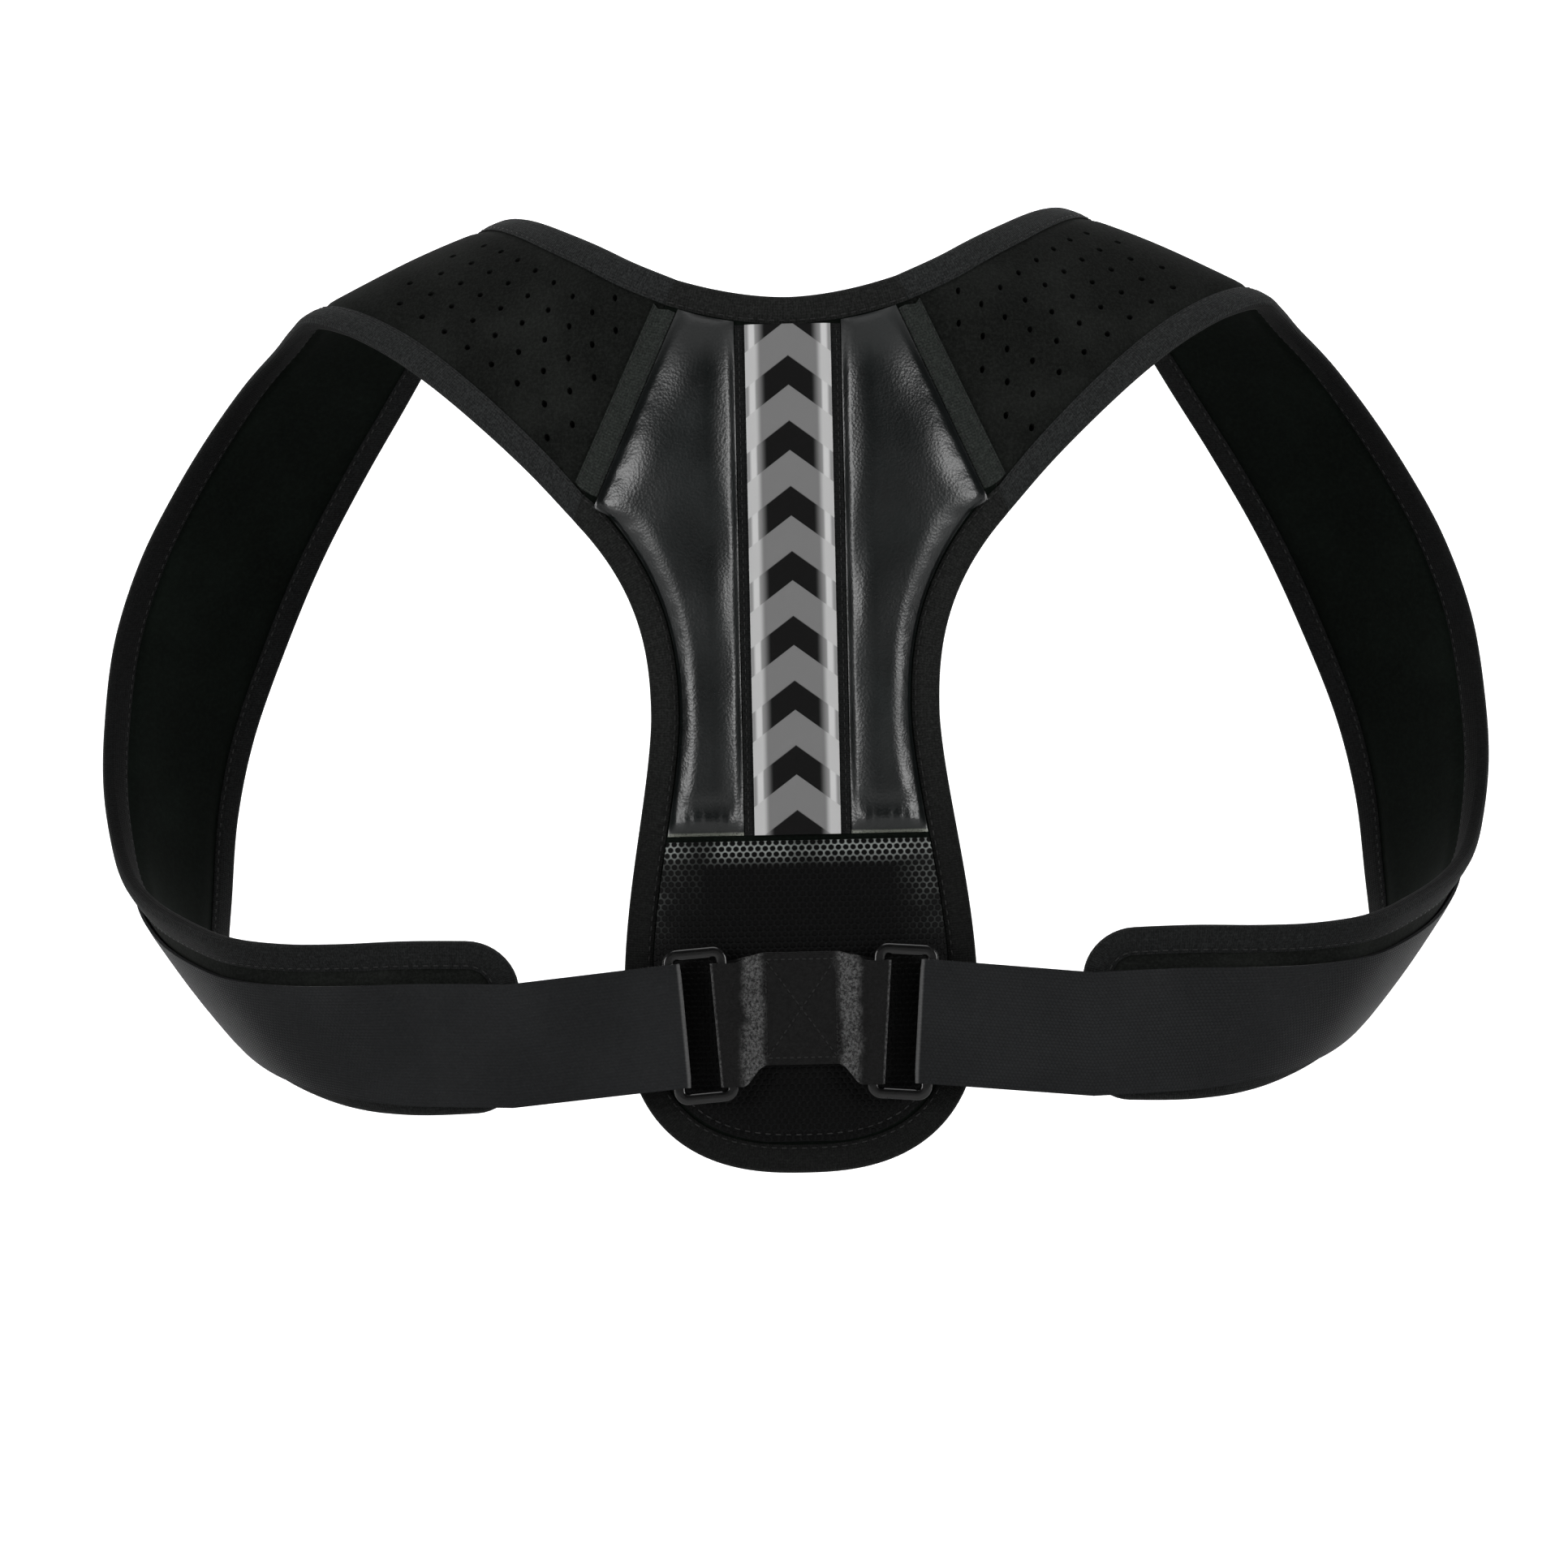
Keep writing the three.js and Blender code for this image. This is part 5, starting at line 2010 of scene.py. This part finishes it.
@dataclass(frozen=True)
class Harness:
    """Adjusting webbing, its rings and the tab that holds them."""

    strap: StrapSurface
    binding: BindingSection
    ring: RingSizes
    web_wide: float = 38
    web_wall: float = 1.4
    from_arm_edge: float = 12
    overlap: float = 18
    rise: float = 12
    tip_row: float = 15.4
    gap: float = 0.3
    tab_tall: float = 38
    tab_sewn_half: float = 12
    tab_slope: float = 8
    tab_taper: float = 0.91
    tab_lift: float = 4.7
    patch_from: float = 2.5
    patch_to: float = 42
    box_row: StitchRow = StitchRow(pitch=2.1, length=1.6, radius=0.26)

    @property
    def bar_clear(self) -> float:
        """Webbing to the bar that it folds round."""
        return 1.5 * self.gap

    def build(self, looks: Looks) -> None:
        """Makes the webbing, the rings and the tab.

        Args:
            looks: the finishes by name.
        """
        webbing, ring, threads = self.webbing(), self.ring_mesh(), self.tip_threads()
        for side in Side:
            word = side.word
            held_by = (f"strap_padding_{word}", f"webbing_ring_{word}")
            settle(webbing.on(side).build(f"adjusting_webbing_{word}", looks["webbing"]),
                   [f"webbing_{word}"], cut=SheetCut(self.web_wide, self.web_long(), "folded", held_by))
            settle(threads.on(side).build(f"webbing_stitches_{word}", looks["thread"]))
            settle(ring.on(side).build(f"webbing_ring_{word}", looks["ring_plastic"]),
                   [f"ring_{word}"])
        settle(self.tab().build("ring_tab", looks["loop_pile"]), ["centre_tab"])
        settle(self.tab_threads().build("ring_tab_stitches", looks["thread"]))

    def _on_strap(self, lengths: Array, raised: Array | float) -> Array:
        """Rows of the webbing where it lies on the strap, from its upper to its lower edge."""
        tops = self.from_arm_edge + np.linspace(0, 1, 13)[None, :] * self.web_wide
        return self.strap.point(np.atleast_1d(lengths)[:, None], tops, np.atleast_1d(raised)[:, None])

    def _beside_ring(self, out: float, raised: float) -> Array:
        """Row of the webbing beside the ring."""
        up = -self.ring.drop - np.linspace(-0.5, 0.5, 13) * self.web_wide
        return np.stack([out + self.ring.lean_at(up), np.full_like(up, -raised), up], -1)

    def rows(self) -> Array:
        """Middle sheet of the webbing, a row of points for each stop, from its tip to its sewn end.

        Returns:
            Points as rows and columns.
        """
        strap, ring = self.strap, self.ring
        over = self.binding.half + self.gap + self.web_wall / 2
        doubled = self.web_wall + self.gap
        sewn_from = strap.length - self.overlap
        lengths = np.arange(float(strap.length_at(self.tip_row)), sewn_from + 0.1, 3)
        lift = over + doubled * smooth(lengths, sewn_from - self.rise, sewn_from)
        top = self._on_strap(lengths, lift)
        pad = self._on_strap(strap.length - 2, over + doubled)
        bar = ring.out + ring.wide / 2 - ring.bar / 2
        reach = ring.bar / 2 + self.bar_clear + self.web_wall / 2
        rise = ring.thick / 2 + self.bar_clear + self.web_wall / 2
        corner = rise / 2
        turn = np.linspace(math.pi / 2, 0, 7)
        fold = np.stack([self._beside_ring(bar - (reach - corner + corner * math.cos(a)),
                                           ring.mid + sign * (rise - corner + corner * math.sin(a)))
                         for sign, angles in ((1, turn), (-1, turn[::-1])) for a in angles])
        inner_pad = self._on_strap(strap.length - 2, over)
        there = np.linspace(0, 1, 22)[1:-1, None, None]
        shift = np.linspace(0, 1, 18)[1:-1, None, None]
        to_ring = lerp(pad, fold[:1], there)
        back = lerp(fold[-1:], inner_pad, shift)
        sewn = self._on_strap(np.linspace(strap.length - 2, sewn_from, 6)[1:], over)
        return np.concatenate([top, pad, to_ring, fold, back, inner_pad, sewn])

    def web_long(self) -> float:
        """Length of the webbing from its tip round the ring to its sewn end."""
        rows = self.rows()
        return float(run_length(rows[:, rows.shape[1] // 2])[-1])

    def webbing(self) -> Draft:
        """Right-hand webbing.

        Returns:
            The piece.
        """
        rows = self.rows()
        along = np.gradient(rows, axis=0)
        across = np.gradient(rows, axis=1)
        normal = unit(np.cross(along, across))
        lengths = run_length(rows[:, rows.shape[1] // 2])[:, None]
        places = np.linspace(-self.web_wide / 2, self.web_wide / 2, rows.shape[1])[None, :]
        edge = 1 - 0.35 * np.abs(2 * places / self.web_wide) ** 12
        lay = 0.1 * np.sin(lengths * 0.09 + 1) * np.cos(places * 0.12)
        cloth = together(lengths, places)
        half = (self.web_wall / 2 * edge)[..., None]
        draft = Draft()
        shifted = rows + normal * lay[..., None]
        draft.add_shell(shifted + normal * half, shifted - normal * half, cloth)
        return draft

    def tip_threads(self) -> Draft:
        """Rows of stitches that hold the gripping patch at the webbing's tip.

        Returns:
            The piece.
        """
        strap = self.strap
        start = float(strap.length_at(self.tip_row))
        raised = self.binding.half + self.gap + self.web_wall + 0.05
        draft = Draft()
        tops = np.linspace(self.from_arm_edge + 2, self.from_arm_edge + self.web_wide - 2, 24)
        near, far = start + self.patch_from, start + self.patch_to
        runs = [(np.full(24, length), tops) for length in (near, far)]
        runs += [(np.linspace(near, far, 24), np.full(24, side)) for side in (tops[0], tops[-1])]
        for length, place in runs:
            seam = strap.point(length, place, raised)
            beyond = strap.point(length, place, raised + 1)
            StitchRow().sew(draft, seam, unit(beyond - seam))
        return draft

    def ring_mesh(self) -> Draft:
        """Right-hand ring, with rounded bars.

        Returns:
            The piece.
        """
        ring = self.ring
        half_x, half_z = ring.wide / 2 - ring.bar / 2, ring.tall / 2 - ring.bar / 2
        radius = ring.corner - ring.bar / 2 + 0.4
        path, outwards = [], []
        for quarter in range(4):
            sx, sz = ((1, 1), (-1, 1), (-1, -1), (1, -1))[quarter]
            for a in np.linspace(0, math.pi / 2, 9) + quarter * math.pi / 2:
                direction = np.array([math.cos(a), math.sin(a)])
                path.append(np.array([sx * (half_x - radius), sz * (half_z - radius)]) + radius * direction)
                outwards.append(direction)
        path, outwards = np.array(path), np.array(outwards)
        turn = np.linspace(0, 2 * math.pi, 17)[:-1]
        power = ring.bar_power
        a = np.sign(np.cos(turn)) * np.abs(np.cos(turn)) ** power * ring.bar / 2
        b = np.sign(np.sin(turn)) * np.abs(np.sin(turn)) ** power * ring.thick / 2
        x = path[:, :1] + outwards[:, :1] * a
        z = path[:, 1:] + outwards[:, 1:] * a
        grid = np.stack([x, np.broadcast_to(-b, x.shape), z], -1)
        angle = math.radians(ring.lean)
        leaned = np.stack([grid[..., 0] * math.cos(angle) + grid[..., 2] * math.sin(angle), grid[..., 1],
                           grid[..., 2] * math.cos(angle) - grid[..., 0] * math.sin(angle)], -1)
        placed = leaned + np.array([ring.out, -ring.mid, -ring.drop])
        draft = Draft()
        draft.add_grid(np.concatenate([placed, placed[:1]]), ring=True)
        return draft

    def _tab_rows(self, outline: Array) -> Array:
        """Points of the tab: an outline seen from above at levels from its top to its foot.

        Args:
            outline: points as (x, distance out from the wearer's face).

        Returns:
            Points as rows and columns.
        """
        share = np.linspace(0.5, -0.5, 25)[:, None]
        x, raised = outline[None, :, 0], outline[None, :, 1]
        outwards = smooth(np.abs(x), self.tab_sewn_half - 1, self.tab_sewn_half + self.tab_slope)
        up = (lerp(self.tab_lift, 0, outwards) - self.ring.drop
              + share * self.tab_tall * lerp(self.tab_taper, 1, outwards))
        lean = np.sign(x) * outwards * self.ring.lean_at(up)
        return together(x + lean, -raised, up)

    def _loop(self, spacing: float) -> Array:
        """Half outline round the ring's inner bar, spaced off it, from the front to the back.

        Args:
            spacing: distance off the bar.

        Returns:
            Points as (x, distance out from the wearer's face).
        """
        ring = self.ring
        bar = ring.out - ring.wide / 2 + ring.bar / 2
        rise = ring.thick / 2 + spacing
        reach = ring.bar / 2 + spacing
        corner = rise / 2
        turn = np.linspace(math.pi / 2, -math.pi / 2, 15)
        side = np.where(turn >= 0, 1, -1)
        return np.stack([bar + reach - corner + corner * np.cos(turn),
                         ring.mid + side * (rise - corner) + corner * np.sin(turn)], -1)

    def tab(self) -> Draft:
        """Tab with a loop of webbing round each ring's inner bar.

        Returns:
            The piece.
        """
        ring = self.ring
        wall = self.web_wall
        bar = ring.out - ring.wide / 2 + ring.bar / 2
        sewn_front = ring.mid - ring.thick / 2 - self.bar_clear + wall
        outer, eye = self._loop(self.bar_clear + wall), self._loop(self.bar_clear)
        ramp_x = np.linspace(self.tab_sewn_half - 1, bar - ring.bar / 2, 18)
        rise = smooth(ramp_x, ramp_x[0], ramp_x[-1] + 1.5)
        front = np.stack([ramp_x, lerp(sewn_front, outer[0, 1], rise)], -1)
        back_y = outer[-1, 1]
        middle = np.linspace(0, self.tab_sewn_half - 1, 7)[:-1]
        half_front = np.vstack([np.stack([middle, np.full_like(middle, sewn_front)], -1), front, outer])
        back_x = np.linspace(outer[-1, 0], 0, 40)[1:]
        half = np.vstack([half_front, np.stack([back_x, np.full_like(back_x, back_y)], -1)])
        left = half[1:-1][::-1] * np.array([-1, 1])
        loop = np.vstack([half, left])
        draft = Draft()
        grid = self._tab_rows(loop)
        places = run_length(grid[0])
        levels = np.linspace(-self.tab_tall / 2, self.tab_tall / 2, len(grid))
        cloth = together(places[None, :], levels[:, None])
        draft.add_grid(grid, cloth, ring=True)
        eye_front = np.stack([ramp_x[4:], lerp(sewn_front - wall, eye[0, 1], rise[4:])], -1)
        eye_loop = np.vstack([eye_front, eye])
        for sign in (1, -1):
            hole = self._tab_rows(eye_loop * np.array([sign, 1]))
            draft.add_grid(hole, ring=True, flip=sign > 0)
        self._tab_caps(draft, loop, eye_loop)
        return draft

    def _tab_caps(self, draft: Draft, loop: Array, eye: Array) -> None:
        """Closes the tab's top and foot, round its two eyes.

        Args:
            draft: the tab.
            loop: its outline seen from above.
            eye: outline of its right-hand eye.
        """
        places, faces, _ = cut_flat([loop, eye, (eye * np.array([-1, 1]))[::-1]], np.zeros((0, 2)))
        rows = self._tab_rows(places)
        draft.add(rows[0], faces)
        draft.add(rows[-1], [f[::-1] for f in faces])

    def tab_threads(self) -> Draft:
        """Box and cross of stitches on the tab's sewn middle, and a line along its top.

        Returns:
            The piece.
        """
        ring = self.ring
        raised = ring.mid - ring.thick / 2 - self.bar_clear + self.web_wall + 0.08
        half_x, half_z = self.tab_sewn_half - 1.2, self.tab_tall * self.tab_taper / 2 - 2.2
        centre = np.array([0, -ring.drop + self.tab_lift])
        corners = np.array([[-1, -1], [1, -1], [1, 1], [-1, 1]]) * [half_x, half_z] + centre
        runs = [(corners[i], corners[(i + 1) % 4]) for i in range(4)]
        runs += [(corners[0], corners[2]), (corners[1], corners[3])]
        draft = Draft()
        steps = 24
        up = np.linspace(-half_z, half_z, steps) + centre[1]
        zigzag = 0.8 * (-1.0) ** np.arange(steps)
        rows = [lerp(a, b, np.linspace(0, 1, steps)[:, None]) for a, b in runs]
        rows += [np.stack([side * (half_x + 0.5) + zigzag, up], -1) for side in (1, -1)]
        for flat in rows:
            line = np.stack([flat[:, 0], np.full(steps, -raised), flat[:, 1]], -1)
            self.box_row.sew(draft, line, np.tile([0.0, -1.0, 0.0], (steps, 1)))
        return draft


@dataclass(frozen=True)
class Studio:
    """Pale sweep behind and below the corrector, soft lights and the camera."""

    distance: float = 2.5
    lens: float = 186.3
    aim_x: float = -0.00395
    aim_z: float = -0.0214
    roll: float = 1.2
    sensor: float = 36
    far_clip: float = 50
    sky_strength: float = 0.07
    paper: tuple[float, float] = (225, 235)
    front_glow: float = 70
    back_glow: float = 255
    floor: float = -0.42
    wall: float = 3.6
    wall_top: float = 6
    fillet: float = 0.9
    half_wide: float = 9
    front: float = -9.0
    front_rise: float = 1.8

    def build(self) -> None:
        """Makes the sweep, the lights, the sky and the camera."""
        self.sweep()
        self.lights()
        self.sky()
        self.camera()

    def sweep(self) -> None:
        """Floor that curves up into a wall."""
        floor, wall, radius, far = self.floor, self.wall, self.fillet, self.front
        turn = np.linspace(0, math.pi / 2, 16)
        profile = [(far, floor + self.front_rise), (far + 0.1, floor + 0.2), (far + 0.4, floor),
                   (-1, floor), (1, floor)]
        profile += [(wall - radius + radius * math.sin(a), floor + radius - radius * math.cos(a))
                    for a in turn]
        x = np.linspace(-self.half_wide, self.half_wide, 9)
        grid = np.array([[(a, y, z) for a in x] for y, z in [*profile, (wall, self.wall_top)]]) / MM
        tree = Tree("sweep")
        tone = tree.noise(tree.place(), 600, 2)
        colour = tree.mix(tone, *(linear(grey) for grey in self.paper))
        ahead = tree.node("ShaderNodeSeparateXYZ", {}, {0: tree.place()}, "Y")
        front = tree.mix(ahead.below(-5.0, -1.5), linear(0), linear(self.front_glow))
        glow = tree.mix(ahead.above(0.5, 1.2), front, linear(self.back_glow))
        paper = tree.finish(Base_Color=colour, Roughness=0.9, Specular_IOR_Level=0.1,
                            Emission_Color=glow, Emission_Strength=1.0)
        draft = Draft()
        draft.add_grid(grid, flip=True)
        draft.build("studio_sweep", paper)

    def lights(self) -> None:
        """Two large soft boxes at the sides and one above."""
        boxes = (
            ("box_left", (-1.6, -1.35, 0.3), 0.8, 17.5),
            ("box_right", (1.6, -1.35, 0.3), 0.8, 17.5),
            ("box_top", (0, -0.6, 1.9), 1.4, 16),
        )
        for name, place, size, power in boxes:
            lamp = bpy.data.lights.new(name, "AREA")
            lamp.size = size
            lamp.energy = power
            thing = bpy.data.objects.new(name, lamp)
            thing.location = place
            thing.rotation_mode = "QUATERNION"
            thing.rotation_quaternion = (Vector((0, 0, 0)) - Vector(place)).to_track_quat("-Z", "Y")
            bpy.context.scene.collection.objects.link(thing)

    def sky(self) -> None:
        """Even white surroundings."""
        world = bpy.data.worlds.new("surroundings")
        world.use_nodes = True
        background = world.node_tree.nodes["Background"]
        background.inputs["Color"].default_value = WHITE
        background.inputs["Strength"].default_value = self.sky_strength
        bpy.context.scene.world = world
        bpy.context.scene.view_settings.view_transform = "Standard"

    def camera(self) -> None:
        """Camera level with the back, turned a little about its own axis as in the photograph."""
        data = bpy.data.cameras.new("camera")
        data.lens = self.lens
        data.sensor_width = self.sensor
        data.clip_end = self.far_clip
        camera = bpy.data.objects.new("camera", data)
        camera.location = (self.aim_x, -self.distance, self.aim_z)
        camera.rotation_mode = "XYZ"
        camera.rotation_euler = (math.pi / 2, math.radians(self.roll), 0)
        bpy.context.scene.collection.objects.link(camera)
        bpy.context.scene.camera = camera


def main() -> None:
    """Builds the corrector and its studio."""
    logging.basicConfig(level=logging.INFO, format="%(message)s")
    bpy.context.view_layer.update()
    surface = PanelSurface()
    strap = StrapSurface(surface)
    binding = BindingSection()
    looks = Wardrobe().materials()
    BackPanel(surface, strap, binding).build(looks)
    ShoulderStrap(strap, binding, Perforations()).build(looks)
    Harness(strap, binding, RingSizes()).build(looks)
    Studio().build()


if __name__ == "__main__":
    main()
